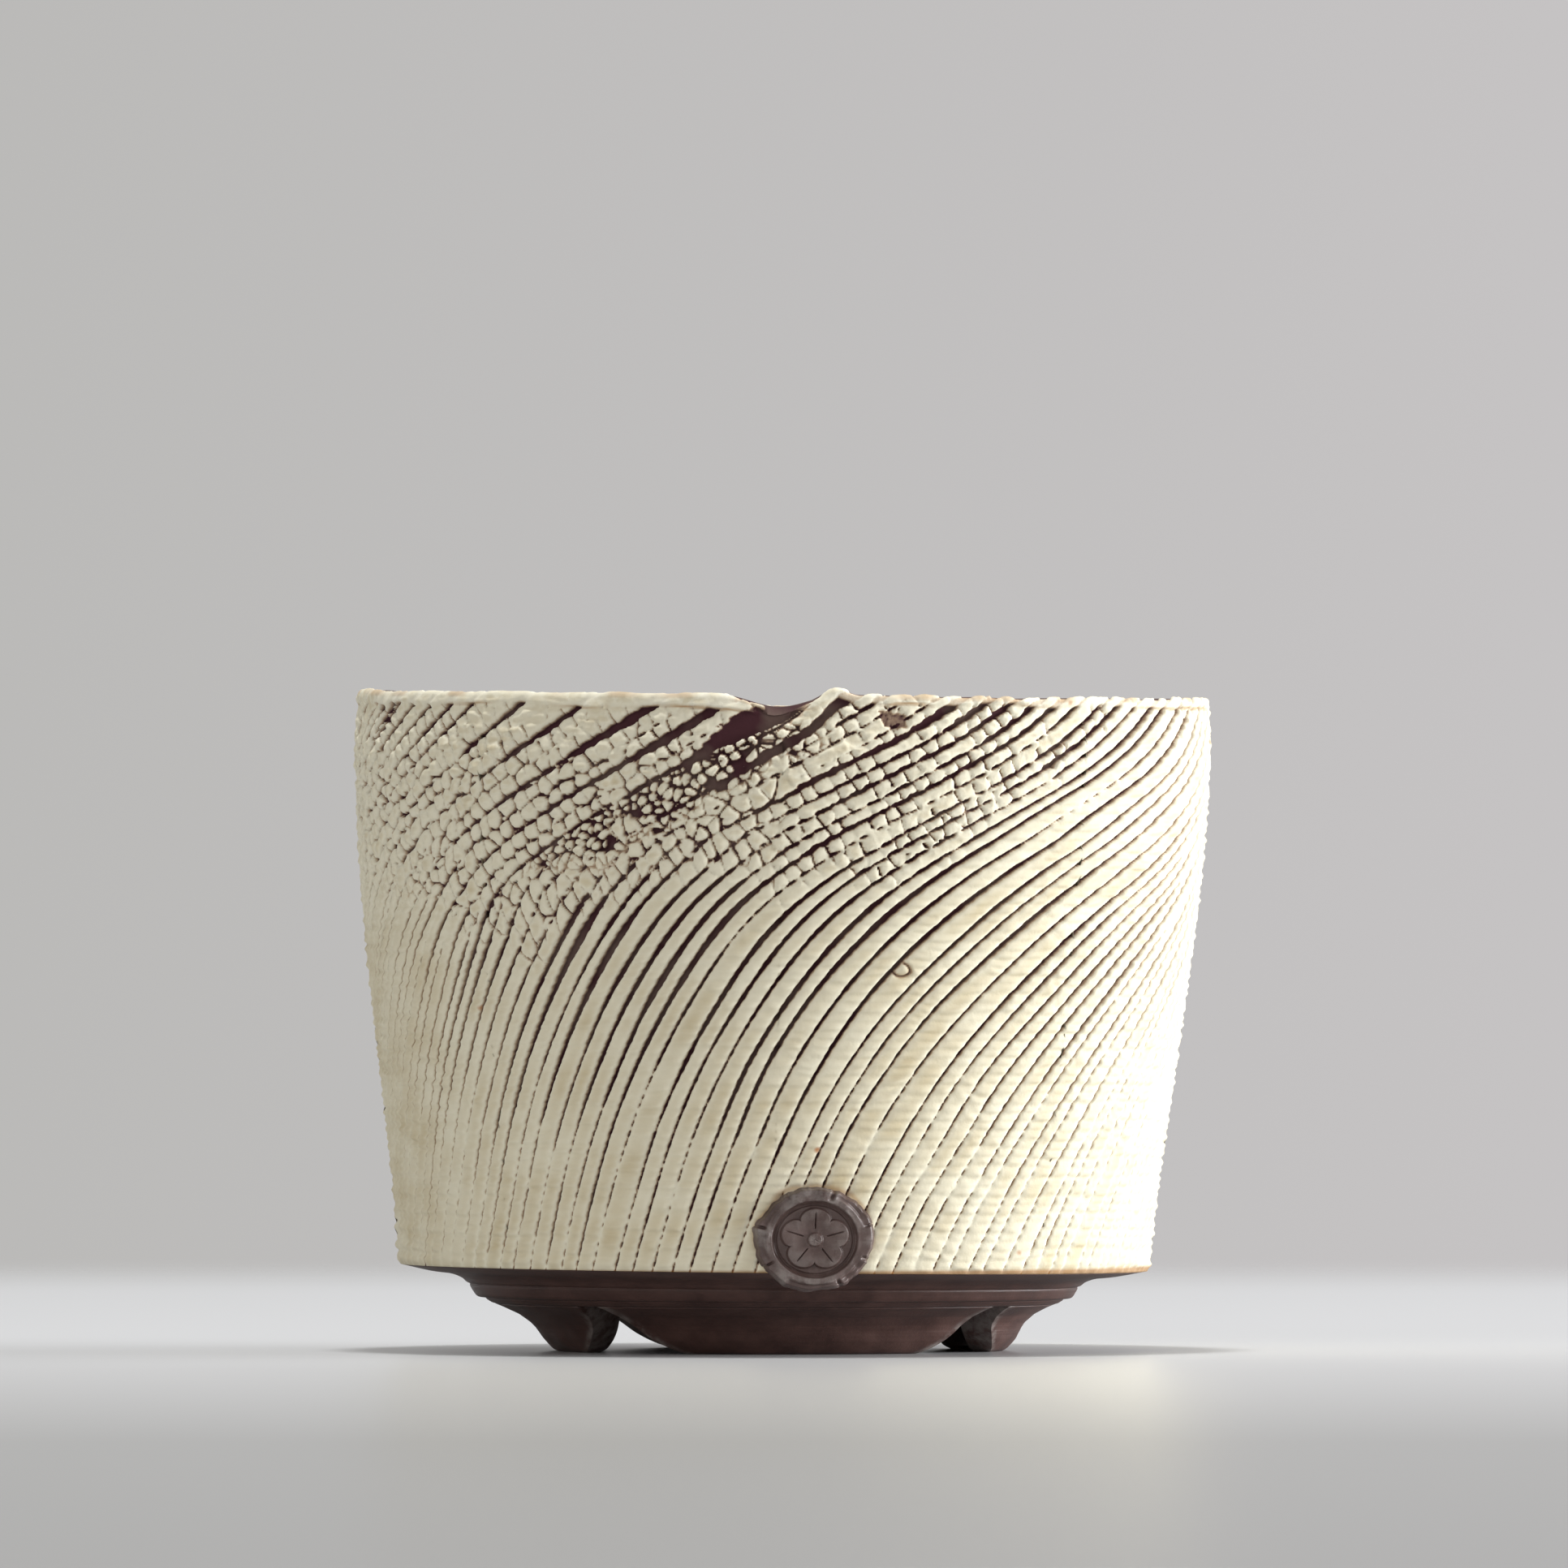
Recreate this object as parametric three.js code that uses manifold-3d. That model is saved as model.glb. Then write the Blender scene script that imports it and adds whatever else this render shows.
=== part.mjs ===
// A small round bonsai pot: a dark stoneware pot under a thick pale slip, standing on four cut feet.
//
// The potter's own pieces are kept apart. Four feet carry a turned collar, the collar carries the wall, the
// floor disc and the slip, and a pressed clay seal is stuck to the front of the wall, low down.
// Millimetres, +Z up. The origin is on the pot's axis, on the ground. The front, with the seal, faces -Y.
import * as THREE from "three";
import { mergeVertices } from "three/addons/utils/BufferGeometryUtils.js";
import Module from "manifold-3d";

const wasm = await Module();
wasm.setup();

// ---------------------------------------------------------------- driving dimensions

// The wall, measured on the outer face of the slip.
const POT_HEIGHT = 79.6; // ground to the rim
const SHOULDER_R = 52; // the widest ring, a little below the rim
const SHOULDER_DROP = 6.4; // rim to that ring
const RIM_TUCK = 0.7; // how far the rim leans in again
const HEEL_R = 45.6; // where the wall meets the collar
const HEEL_LEAN = 0.8; // the flank leaves the heel nearly upright
const SHOULDER_LEAN = 0.4; // and reaches the shoulder nearly upright again

const SLIP_T = 1.2; // slip, measured level
const WALL_T = 4.2; // clay wall, measured level
const FLOOR_T = 3.8;
const BOND = 0.3; // room left where two curved faces are bonded

// The rim is torn at the front and wavers a little all round.
const TEAR_DEPTH = 1.6;
const TEAR_AT = 1; // degrees from the front, towards +X
const TEAR_HALF_ANGLE = 9;
const RIM_WAVER = 0.3;

// The hole in the floor.
const DRAIN_R = 7;

// The collar, turned under the wall.
const COLLAR_T = 4.4; // feet to wall
const STEP_R = 35.1; // the narrow step above the feet
const STEP_H = 0.8;
const LIP_R = 36.8; // the lip above the step
const LIP_H = 1.4;
const LEDGE = 0.3; // how far the collar's underside stands out past the feet
const LIP_UNDERCUT = 0.6; // how far the lip leans in towards the step
const COLLAR_BELLY = 0.8; // the flare above the lip starts out steeply
const HEEL_SETBACK = 0.4; // the clay stops this far inside the slip's edge
const RECESS_R = 26; // the hollow under the floor

// The feet, cut from one flared ring.
const FOOT_H = 5.7;
const FOOT_TOP_R = 33.9;
const STAND_R = 27.1; // outer edge of the face that stands on the ground
const STAND_W = 2.4; // width of that face
const TOE_OUT = 1.2; // bevel from the ground to the flare
const TOE_IN = 0.4; // bevel on the inner side

// Openings between the feet: centre in degrees from the front towards +X, and half width at the ground.
const ARCHES = [
  { angle: 54, half: 7.7 },
  { angle: 142, half: 8 },
  { angle: 227, half: 8 },
  { angle: 318, half: 8.2 },
];
const FEET = ["foot_right", "foot_back", "foot_left", "foot_front"]; // after each arch, in the same order
const ARCH_CROWN = 1.6; // half width at the top

// The seal, a pressed disc of clay.
const SEAL_W = 14.3;
const SEAL_H = 12.8;
const SEAL_T = 2.3; // its face above the slip
const SEAL_BORDER = 1.5;
const SEAL_FIELD_DEPTH = 0.6;
const SEAL_FIELD_SLOPE = 0.3; // width of the border's inner side
const SEAL_ROUND = 48; // facets round it
const SEAL_EDGE = 0.6; // how far its edge is rounded
const SEAL_ANGLE = 5.3;
const SEAL_RISE = 4.1; // its centre above the wall's lower edge
const BLOSSOM_R = 4.3; // a five-petalled flower stands in its field
const BLOSSOM_NOTCH = 0.3; // share of that radius lost between two petals
const BLOSSOM_POINTS = 60;

const ROUND = 72; // facets round the pot
const DEEP = 30; // longer than any cut needs

// ---------------------------------------------------------------- places worked out from them

const HEEL_Z = FOOT_H + COLLAR_T;
const SHOULDER_Z = POT_HEIGHT - SHOULDER_DROP;
const RIM_R = SHOULDER_R - RIM_TUCK;
const WALL_INSET = SLIP_T + BOND; // slip face to clay face
const CAVITY_INSET = WALL_INSET + WALL_T; // slip face to the inside

const radians = THREE.MathUtils.degToRad;

// ---------------------------------------------------------------- solids

// A closed geometry as a manifold-3d solid.
function solidOf(geometry) {
  const bare = new THREE.BufferGeometry().setAttribute("position", geometry.getAttribute("position"));
  bare.setIndex(geometry.index);
  const merged = mergeVertices(bare, 1e-4);
  const mesh = new wasm.Mesh({
    numProp: 3,
    vertProperties: merged.attributes.position.array,
    triVerts: new Uint32Array(merged.index.array),
  });
  return new wasm.Manifold(mesh);
}

function geometryOf(solid) {
  const mesh = solid.getMesh();
  const places = new Float32Array(mesh.numVert * 3);
  for (let i = 0; i < mesh.numVert; i++) {
    const at = i * mesh.numProp;
    places.set(mesh.vertProperties.subarray(at, at + 3), i * 3);
  }
  const geometry = new THREE.BufferGeometry();
  geometry.setAttribute("position", new THREE.BufferAttribute(places, 3));
  geometry.setIndex(new THREE.BufferAttribute(mesh.triVerts, 1));
  return geometry;
}

// A profile of (radius, height) turned about Z. It runs up the outside and down the inside.
function turned(profile, facets = ROUND) {
  const geometry = new THREE.LatheGeometry(profile, facets);
  geometry.deleteAttribute("normal");
  geometry.deleteAttribute("uv");
  geometry.rotateX(Math.PI / 2);
  return mergeVertices(geometry, 1e-4);
}

// Radius and height of the slip's outer face, from the heel to the rim.
function flank(inset = 0, steps = 6) {
  const heel = new THREE.Vector2(HEEL_R - inset, HEEL_Z);
  const low = new THREE.Vector2(heel.x + HEEL_LEAN, HEEL_Z + 0.25 * (SHOULDER_Z - HEEL_Z));
  const shoulder = new THREE.Vector2(SHOULDER_R - inset, SHOULDER_Z);
  const high = new THREE.Vector2(shoulder.x - SHOULDER_LEAN, HEEL_Z + 0.63 * (SHOULDER_Z - HEEL_Z));
  const points = new THREE.CubicBezierCurve(heel, low, high, shoulder).getPoints(steps);
  points.push(new THREE.Vector2((SHOULDER_R + RIM_R) / 2 - inset, (SHOULDER_Z + POT_HEIGHT) / 2));
  points.push(new THREE.Vector2(RIM_R - inset, POT_HEIGHT));
  return points;
}

// How far the rim stands above its usual level, at an angle from the front towards +X.
function rimLift(angle) {
  const off = THREE.MathUtils.euclideanModulo(angle - radians(TEAR_AT) + Math.PI, 2 * Math.PI) - Math.PI;
  const near = Math.min(Math.abs(off) / radians(TEAR_HALF_ANGLE), 1);
  const tear = -TEAR_DEPTH * Math.cos((near * Math.PI) / 2) ** 2;
  return tear + RIM_WAVER * (Math.sin(3 * angle + 1) + Math.sin(7 * angle)) / 2;
}

// Moves everything above the shoulder so that the top edge follows the torn rim.
function tearRim(geometry) {
  const places = geometry.getAttribute("position");
  for (let i = 0; i < places.count; i++) {
    const share = (places.getZ(i) - SHOULDER_Z) / SHOULDER_DROP;
    if (share <= 0) continue;
    const angle = Math.atan2(places.getX(i), -places.getY(i));
    places.setZ(i, places.getZ(i) + share * rimLift(angle));
  }
  return geometry;
}

// A shell that follows the flank, between two depths under the slip's face.
function shell(outerInset, innerInset) {
  const outside = flank(outerInset);
  const inside = flank(innerInset).reverse();
  return tearRim(turned([...outside, ...inside, outside[0].clone()]));
}

function floorDisc() {
  const cavityR = HEEL_R - CAVITY_INSET; // the wall's narrowest inside radius
  const outline = new THREE.Shape().absarc(0, 0, cavityR - BOND, 0, 2 * Math.PI);
  outline.holes.push(new THREE.Path().absarc(0, 0, DRAIN_R, 0, 2 * Math.PI, true));
  const disc = new THREE.ExtrudeGeometry(outline, { depth: FLOOR_T, bevelEnabled: false, curveSegments: 20 });
  return disc.translate(0, 0, HEEL_Z);
}

function collar() {
  const lipZ = FOOT_H + STEP_H + LIP_H;
  const profile = new THREE.Path();
  profile.moveTo(RECESS_R, FOOT_H);
  profile.lineTo(FOOT_TOP_R + LEDGE, FOOT_H);
  profile.lineTo(STEP_R, FOOT_H + 0.8 * STEP_H);
  profile.lineTo(LIP_R - LIP_UNDERCUT, FOOT_H + STEP_H);
  profile.lineTo(LIP_R, lipZ);
  profile.quadraticCurveTo(LIP_R + COLLAR_BELLY, (lipZ + HEEL_Z) / 2, HEEL_R - HEEL_SETBACK, HEEL_Z);
  profile.lineTo(RECESS_R, HEEL_Z);
  profile.lineTo(RECESS_R, FOOT_H);
  return turned(profile.getPoints(6));
}

// The flared ring that the feet are cut from.
function footRing() {
  const toeR = STAND_R + TOE_OUT;
  const innerR = STAND_R - STAND_W - TOE_IN;
  const profile = new THREE.Path();
  profile.moveTo(innerR + TOE_IN, 0);
  profile.lineTo(STAND_R, 0);
  profile.lineTo(toeR, TOE_OUT);
  profile.quadraticCurveTo(toeR + 0.27 * (FOOT_TOP_R - toeR), 0.65 * FOOT_H, FOOT_TOP_R, FOOT_H);
  profile.lineTo(RECESS_R, FOOT_H);
  profile.quadraticCurveTo(innerR + 0.25 * (RECESS_R - innerR), 0.7 * FOOT_H, innerR, TOE_IN);
  profile.lineTo(innerR + TOE_IN, 0);
  return turned(profile.getPoints(5));
}

// One opening between two feet: narrow under the collar and flared at the ground.
function archCutter({ angle, half }) {
  const above = FOOT_H + 1; // past the ring's top, so that the feet come apart
  const outline = new THREE.Shape();
  outline.moveTo(-half - 1, -1);
  outline.lineTo(-half, 0);
  outline.bezierCurveTo(-0.45 * half, 0.3 * FOOT_H, -0.35 * half, 0.75 * FOOT_H, -ARCH_CROWN, FOOT_H);
  outline.lineTo(-ARCH_CROWN, above);
  outline.lineTo(ARCH_CROWN, above);
  outline.lineTo(ARCH_CROWN, FOOT_H);
  outline.bezierCurveTo(0.35 * half, 0.75 * FOOT_H, 0.45 * half, 0.3 * FOOT_H, half, 0);
  outline.lineTo(half + 1, -1);
  const cutter = new THREE.ExtrudeGeometry(outline, { depth: DEEP, bevelEnabled: false, curveSegments: 8 });
  cutter.translate(0, 0, (STAND_R + FOOT_TOP_R) / 2 - DEEP / 2);
  cutter.rotateX(Math.PI / 2); // the outline stands up, and the depth runs out to the front
  cutter.rotateZ(radians(angle));
  return cutter;
}

// The four feet, in the order of the arches that come before them.
function feet() {
  const cut = ARCHES.reduce((ring, arch) => ring.subtract(solidOf(archCutter(arch))), solidOf(footRing()));
  const pieces = cut.decompose().map((piece) => {
    const { min, max } = piece.boundingBox();
    const angle = Math.atan2((min[0] + max[0]) / 2, -(min[1] + max[1]) / 2);
    const turn = THREE.MathUtils.euclideanModulo(angle - radians(ARCHES[0].angle), 2 * Math.PI);
    return { piece, turn };
  });
  pieces.sort((a, b) => a.turn - b.turn);
  return pieces.map(({ piece }) => geometryOf(piece));
}

// The flower in the seal's field, lying flat, from the field up.
function blossom() {
  const points = [];
  for (let i = 0; i < BLOSSOM_POINTS; i++) {
    const turn = (i / BLOSSOM_POINTS) * 2 * Math.PI;
    const petal = Math.abs(Math.cos(2.5 * turn)) ** 0.7;
    const reach = BLOSSOM_R * (1 - BLOSSOM_NOTCH * (1 - petal));
    points.push(new THREE.Vector2(-reach * Math.sin(turn), reach * Math.cos(turn)));
  }
  const flower = new THREE.ExtrudeGeometry(new THREE.Shape(points), { depth: SEAL_T, bevelEnabled: false });
  return flower.translate(0, 0, -0.5 * SEAL_FIELD_DEPTH);
}

// The seal's disc, cut to lie on the wall. Its lower edge hangs free below the wall.
function seal() {
  const rimR = SEAL_W / 2;
  const field = rimR - SEAL_BORDER;
  const profile = new THREE.Path();
  profile.moveTo(0, -DEEP / 4);
  profile.lineTo(rimR, -DEEP / 4);
  profile.lineTo(rimR, SEAL_T - SEAL_EDGE);
  profile.quadraticCurveTo(rimR, SEAL_T, rimR - SEAL_EDGE, SEAL_T);
  profile.lineTo(field + SEAL_FIELD_SLOPE, SEAL_T);
  profile.lineTo(field, SEAL_T - SEAL_FIELD_DEPTH);
  profile.lineTo(0, SEAL_T - SEAL_FIELD_DEPTH);
  const disc = solidOf(turned(profile.getPoints(4), SEAL_ROUND)).add(solidOf(blossom()));
  const pressed = geometryOf(disc.intersect(solidOf(slab(SEAL_T))));
  const lean = Math.atan2(flankRadius(HEEL_Z + 2 * SEAL_RISE) - HEEL_R, 2 * SEAL_RISE);
  pressed.scale(1, SEAL_H / SEAL_W, 1);
  pressed.rotateX(Math.PI / 2 + lean); // faces the front, and down as the wall does
  pressed.translate(0, -flankRadius(HEEL_Z + SEAL_RISE), HEEL_Z + SEAL_RISE);
  pressed.rotateZ(radians(SEAL_ANGLE));
  return geometryOf(solidOf(pressed).subtract(solidOf(wallEnvelope())));
}

// Everything near the seal that lies below its face.
function slab(top) {
  return new THREE.BoxGeometry(DEEP, DEEP, DEEP).translate(0, 0, top - DEEP / 2);
}

// Radius of the slip's face at a height below the shoulder.
function flankRadius(z) {
  const points = flank(0, 60);
  const above = points.findIndex((point) => point.y >= z);
  const [a, b] = [points[Math.max(above - 1, 0)], points[Math.max(above, 1)]];
  return THREE.MathUtils.lerp(a.x, b.x, (z - a.y) / (b.y - a.y));
}

// Everything inside the slip's face, with the bond's room added, and straight down below the wall.
function wallEnvelope() {
  const outside = flank(-BOND);
  const foot = new THREE.Vector2(outside[0].x, -DEEP);
  const top = outside[outside.length - 1];
  return turned([new THREE.Vector2(0, -DEEP), foot, ...outside, new THREE.Vector2(0, top.y)]);
}

// ---------------------------------------------------------------- the pot

const slipClay = new THREE.MeshStandardMaterial({ color: 0xd8d2b8, roughness: 0.75, metalness: 0 });
const darkClay = new THREE.MeshStandardMaterial({ color: 0x45302c, roughness: 0.6, metalness: 0 });
const sealClay = new THREE.MeshStandardMaterial({ color: 0x64514d, roughness: 0.5, metalness: 0 });

const pot = new THREE.Group();

function add(name, geometry, material) {
  const mesh = new THREE.Mesh(geometry, material);
  mesh.name = name;
  pot.add(mesh);
}

add("pot_wall", shell(WALL_INSET, CAVITY_INSET), darkClay);
add("slip_coat", shell(0, SLIP_T), slipClay);
add("floor_disc", floorDisc(), darkClay);
add("foot_collar", collar(), darkClay);
feet().forEach((geometry, i) => add(FEET[i], geometry, darkClay));
add("maker_seal", seal(), sealClay);

export default pot;
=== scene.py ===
import math

import bmesh
import bpy
import numpy as np
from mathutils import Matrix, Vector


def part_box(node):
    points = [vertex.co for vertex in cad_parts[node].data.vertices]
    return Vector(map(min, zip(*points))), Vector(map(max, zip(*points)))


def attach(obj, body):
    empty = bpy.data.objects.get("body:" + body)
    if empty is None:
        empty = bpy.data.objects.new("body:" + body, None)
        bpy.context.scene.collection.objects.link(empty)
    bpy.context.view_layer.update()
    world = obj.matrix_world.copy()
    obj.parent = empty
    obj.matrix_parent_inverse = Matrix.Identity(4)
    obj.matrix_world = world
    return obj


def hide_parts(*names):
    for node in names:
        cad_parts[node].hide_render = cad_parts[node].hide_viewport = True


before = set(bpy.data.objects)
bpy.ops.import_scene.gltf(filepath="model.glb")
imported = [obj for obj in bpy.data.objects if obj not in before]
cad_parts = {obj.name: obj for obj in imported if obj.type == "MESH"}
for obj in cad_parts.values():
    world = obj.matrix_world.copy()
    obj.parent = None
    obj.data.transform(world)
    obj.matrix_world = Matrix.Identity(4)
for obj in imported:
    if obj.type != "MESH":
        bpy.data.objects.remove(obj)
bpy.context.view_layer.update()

MM = 0.001
DEG = math.pi / 180


# ---------------------------------------------------------------- sizes taken from the frame

def low_and_high(node):
    low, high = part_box(node)
    return np.array(low) / MM, np.array(high) / MM


COAT_LOW, COAT_HIGH = low_and_high("slip_coat")
COLLAR_HIGH = low_and_high("foot_collar")[1]
FLOOR_LOW, FLOOR_HIGH = low_and_high("floor_disc")
FOOT_HIGH = low_and_high("foot_front")[1]

SLIP_OVERHANG = 0.4  # of the slip's lower edge past the collar
RIM_WAVER = 0.29
SHOULDER_DROP = 6.4  # from the rim to the widest ring
RIM_TUCK = 0.7

SHOULDER_R = float(COAT_HIGH[0])
HEEL_Z = float(COAT_LOW[2])
HEEL_R = float(COLLAR_HIGH[0]) + SLIP_OVERHANG
RIM_Z = float(COAT_HIGH[2]) - RIM_WAVER
SHOULDER_Z = RIM_Z - SHOULDER_DROP
RIM_R = SHOULDER_R - RIM_TUCK
FLOOR_TOP = float(FLOOR_HIGH[2])
FOOT_TOP = float(FOOT_HIGH[2])
SLIP_T = 1.2
BOND = 0.3  # between the slip and the wall
WALL_T = 4.2
DRAIN_R = 7.0

LAY_R = 50.0  # the wall is laid out flat at this radius to draw the furrows on it
ROUND = 2 * math.pi * LAY_R


# ---------------------------------------------------------------- small tools

def smooth(x, low, high):
    t = np.clip((x - low) / (high - low), 0, 1)
    return t * t * (3 - 2 * t)


def bump(x, width):
    """1 at x = 0, falling to 0 at width on either side."""
    return 1 - smooth(np.abs(x), 0, width)


def turn_between(a, b):
    """Degrees from b to a, the short way round."""
    return (np.asarray(a) - b + 180) % 360 - 180


def grain(u, z, size, seed):
    """Smooth uneven values from -1 to 1 that close on themselves round the pot; size is the grain in mm."""
    size_u, size_z = np.broadcast_to(size, (2,))
    count = max(int(round(ROUND / size_u)), 1)
    rows = int(140 / size_z) + 4
    values = np.random.default_rng(seed).uniform(-1, 1, (rows, count))
    x = np.asarray(u) / ROUND * count
    y = np.clip((np.asarray(z) + 20) / size_z, 0, rows - 2.001)
    left, low = np.floor(x).astype(int), np.floor(y).astype(int)
    fx, fy = x - left, y - low
    fx, fy = fx * fx * (3 - 2 * fx), fy * fy * (3 - 2 * fy)
    a, b = values[low, left % count], values[low, (left + 1) % count]
    c, d = values[low + 1, left % count], values[low + 1, (left + 1) % count]
    return (a * (1 - fx) + b * fx) * (1 - fy) + (c * (1 - fx) + d * fx) * fy


def chance(*keys):
    """An even number from 0 to 1 that depends only on the whole numbers given."""
    mixed = np.zeros(np.broadcast(*keys).shape, np.uint64)
    for key, factor in zip(keys, (0x9E3779B1, 0x85EBCA77, 0xC2B2AE3D)):
        mixed = mixed + np.asarray(key).astype(np.int64).astype(np.uint64) * np.uint64(factor)
        mixed = (mixed ^ (mixed >> np.uint64(15))) * np.uint64(0x2C1B3C6D)
        mixed = mixed & np.uint64(0xFFFFFFFF)
    return ((mixed ^ (mixed >> np.uint64(13))) & np.uint64(0xFFFFFF)).astype(float) / 0xFFFFFF


def flank(z):
    """Radius of the slip's face at a height. The wall under it follows the same curve."""
    t = np.linspace(0, 1, 400)
    rise = SHOULDER_Z - HEEL_Z
    corners_r = (HEEL_R, HEEL_R + 0.8, SHOULDER_R - 0.4, SHOULDER_R)
    corners_z = (HEEL_Z, HEEL_Z + 0.25 * rise, HEEL_Z + 0.63 * rise, SHOULDER_Z)
    weights = ((1 - t) ** 3, 3 * (1 - t) ** 2 * t, 3 * (1 - t) * t**2, t**3)
    curve_r = sum(w * r for w, r in zip(weights, corners_r))
    curve_z = sum(w * h for w, h in zip(weights, corners_z))
    tucked = RIM_R + (SHOULDER_R - RIM_R) * np.sqrt(np.clip((RIM_Z - z) / (RIM_Z - SHOULDER_Z), 0, 1))
    return np.where(z < SHOULDER_Z, np.interp(z, curve_z, curve_r), tucked)


def rim_lift(angle):
    """How far the rim stands above its usual level. It is torn at the front, with a lip right of the tear."""
    tear = -1.5 * bump(turn_between(angle, -0.5), 8) + 0.75 * bump(turn_between(angle, 7.2), 3.4)
    back = 0.5 * smooth(np.abs(turn_between(angle, 0)), 86, 105) + 0.9 * bump(turn_between(angle, 180), 22)
    waver = 0.06 * np.sin(3 * angle * DEG + 1) + 0.05 * np.sin(7 * angle * DEG)
    return tear - back + waver + 0.1 * grain(angle * DEG * LAY_R, 0, 5, 11)


def mesh_object(name, verts, faces, materials, smooth_faces=True):
    mesh = bpy.data.meshes.new(name)
    mesh.from_pydata([], [], [])
    verts = np.asarray(verts, float).reshape(-1, 3) * MM
    faces = np.asarray(faces)
    size = faces.shape[1]
    mesh.vertices.add(len(verts))
    mesh.vertices.foreach_set("co", verts.ravel())
    mesh.loops.add(faces.size)
    mesh.loops.foreach_set("vertex_index", faces.ravel().astype(np.int32))
    mesh.polygons.add(len(faces))
    mesh.polygons.foreach_set("loop_start", np.arange(0, faces.size, size, dtype=np.int32))
    mesh.polygons.foreach_set("loop_total", np.full(len(faces), size, np.int32))
    mesh.update(calc_edges=True)
    mesh.validate()
    mesh.polygons.foreach_set("use_smooth", np.full(len(faces), smooth_faces))
    for material in materials:
        mesh.materials.append(material)
    made = bpy.data.objects.new(name, mesh)
    bpy.context.scene.collection.objects.link(made)
    return made


def grid_faces(rows, columns, closed_rows=False, closed_columns=False):
    """Quads between rows and columns of vertices that are numbered row by row."""
    r = np.arange(rows if closed_rows else rows - 1)
    c = np.arange(columns if closed_columns else columns - 1)
    r, c = np.meshgrid(r, c, indexing="ij")
    r2, c2 = (r + 1) % rows, (c + 1) % columns
    r, r2 = r * columns, r2 * columns
    return np.stack([r + c, r + c2, r2 + c2, r2 + c], -1).reshape(-1, 4)


def open_mesh(made):
    work = bmesh.new()
    work.from_mesh(made.data)
    work.verts.ensure_lookup_table()
    return work


def close_mesh(work, made, rounded=False):
    if rounded:
        for face in work.faces:
            face.smooth = True
    work.to_mesh(made.data)
    work.free()


def keep_values(made, name, values, kind="FLOAT"):
    attribute = made.data.attributes.new(name, kind, "POINT")
    field = "vector" if kind == "FLOAT_VECTOR" else "value"
    attribute.data.foreach_set(field, np.asarray(values, np.float32).ravel())


def leaned(points):
    """The pot isn't quite true: its body sits a little to the left on the feet and leans to the right."""
    x, y, z = np.moveaxis(np.asarray(points, float), -1, 0)
    shifted = x - 0.75 * smooth(z, 0, 8) + 1.2 / 72 * np.maximum(z - 8, 0)
    return np.stack([shifted, y, z - 0.0105 * x * smooth(z, 4, 11)], -1)


def ring_point(radius, angle, height):
    """Points on a circle round the pot; the angle is in degrees from the front towards +X."""
    radius, angle, height = np.broadcast_arrays(radius, angle, height)
    return leaned(np.stack([radius * np.sin(angle * DEG), -radius * np.cos(angle * DEG), height], -1))


# ---------------------------------------------------------------- how the furrows run

FURROWS = 116  # at the wall's foot
STOUT_EVERY = 2  # every second furrow is stout enough to reach the rim
LEAN_HEIGHTS = (8, 28, 42, 50, 56, 61, 66, 71, 80)
LEAN_ANGLES = (69, 61, 52.5, 48, 41, 32, 27, 28.5, 37)  # of a furrow above level, at those heights
LEAN_STEPS = np.linspace(8, 82, 75)
TEAR_ANGLE = -2.5  # where the widest furrow meets the rim
TEAR_Z = 78
FLOW_LINES = 1500  # traced round the pot


def lean(u, z):
    """Angle of the furrows above level, in radians."""
    angle = u / LAY_R / DEG
    usual = np.interp(z, LEAN_STEPS, LEAN_BY_MM)
    lopsided = 7.5 * np.cos(2 * (angle + 35) * DEG) * (0.2 + 0.8 * (1 - smooth(z, 50, 63)))
    uneven = 2.2 * grain(u, z, (22, 16), 21) + 1.0 * grain(u, z, (11, 10), 22)
    return np.clip(usual + lopsided + uneven, 18, 80) * DEG


def rounded_steps(heights, values, reach=4):
    fine = np.pad(np.interp(LEAN_STEPS, heights, values), reach, mode="edge")
    window = 2 * reach + 1
    return np.convolve(fine, np.ones(window) / window, mode="valid")


LEAN_BY_MM = rounded_steps(LEAN_HEIGHTS, LEAN_ANGLES)


class Flow:
    """Carries points of the wall down along the furrows to the wall's foot, row by row."""

    def __init__(self, heights, columns):
        starts = np.arange(0, ROUND, ROUND / FLOW_LINES)
        place = starts.copy()
        foot, stretch, slant, self.spread = [], [], [], []
        previous = heights[0]
        for z in heights:
            step = z - previous
            if step > 0:
                half = place + 0.5 * step / np.tan(lean(place, previous))
                angle = lean(half, previous + 0.5 * step)
                place = place + step / np.tan(angle)
            turns = np.array([-2, -1, 0, 1])[:, None] * ROUND
            wide = (place + turns).ravel()
            origin = (starts + turns).ravel()
            here = np.interp(columns, wide, origin)
            foot.append(here)
            stretch.append(np.interp(columns, wide, np.gradient(wide, origin)))
            slant.append(np.sin(lean(columns, z)))
            apart = (np.roll(place, -1) - np.roll(place, 1)) % ROUND / (2 * ROUND / FLOW_LINES)
            self.spread.append(apart * np.sin(lean(place, z)))
            previous = z
        self.starts = starts
        self.foot = np.array(foot)
        self.across = np.array(stretch) * np.array(slant)  # mm across the furrows for each mm along the foot


STOUT = FURROWS // STOUT_EVERY
# Half the width of some furrows at the rim, by their number to the right of the tear. Below 0 it is shut.
AT_RIM = {1: 0.1, 2: 0.62, 3: 0.12, 4: 0.5, -1: 0.05, -2: 0.62, -3: 0.02, -4: 0.58, -5: -0.1, -6: 0.35,
          -7: -0.1, -8: 0.3, -9: -0.1, -10: 0.2}


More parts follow.
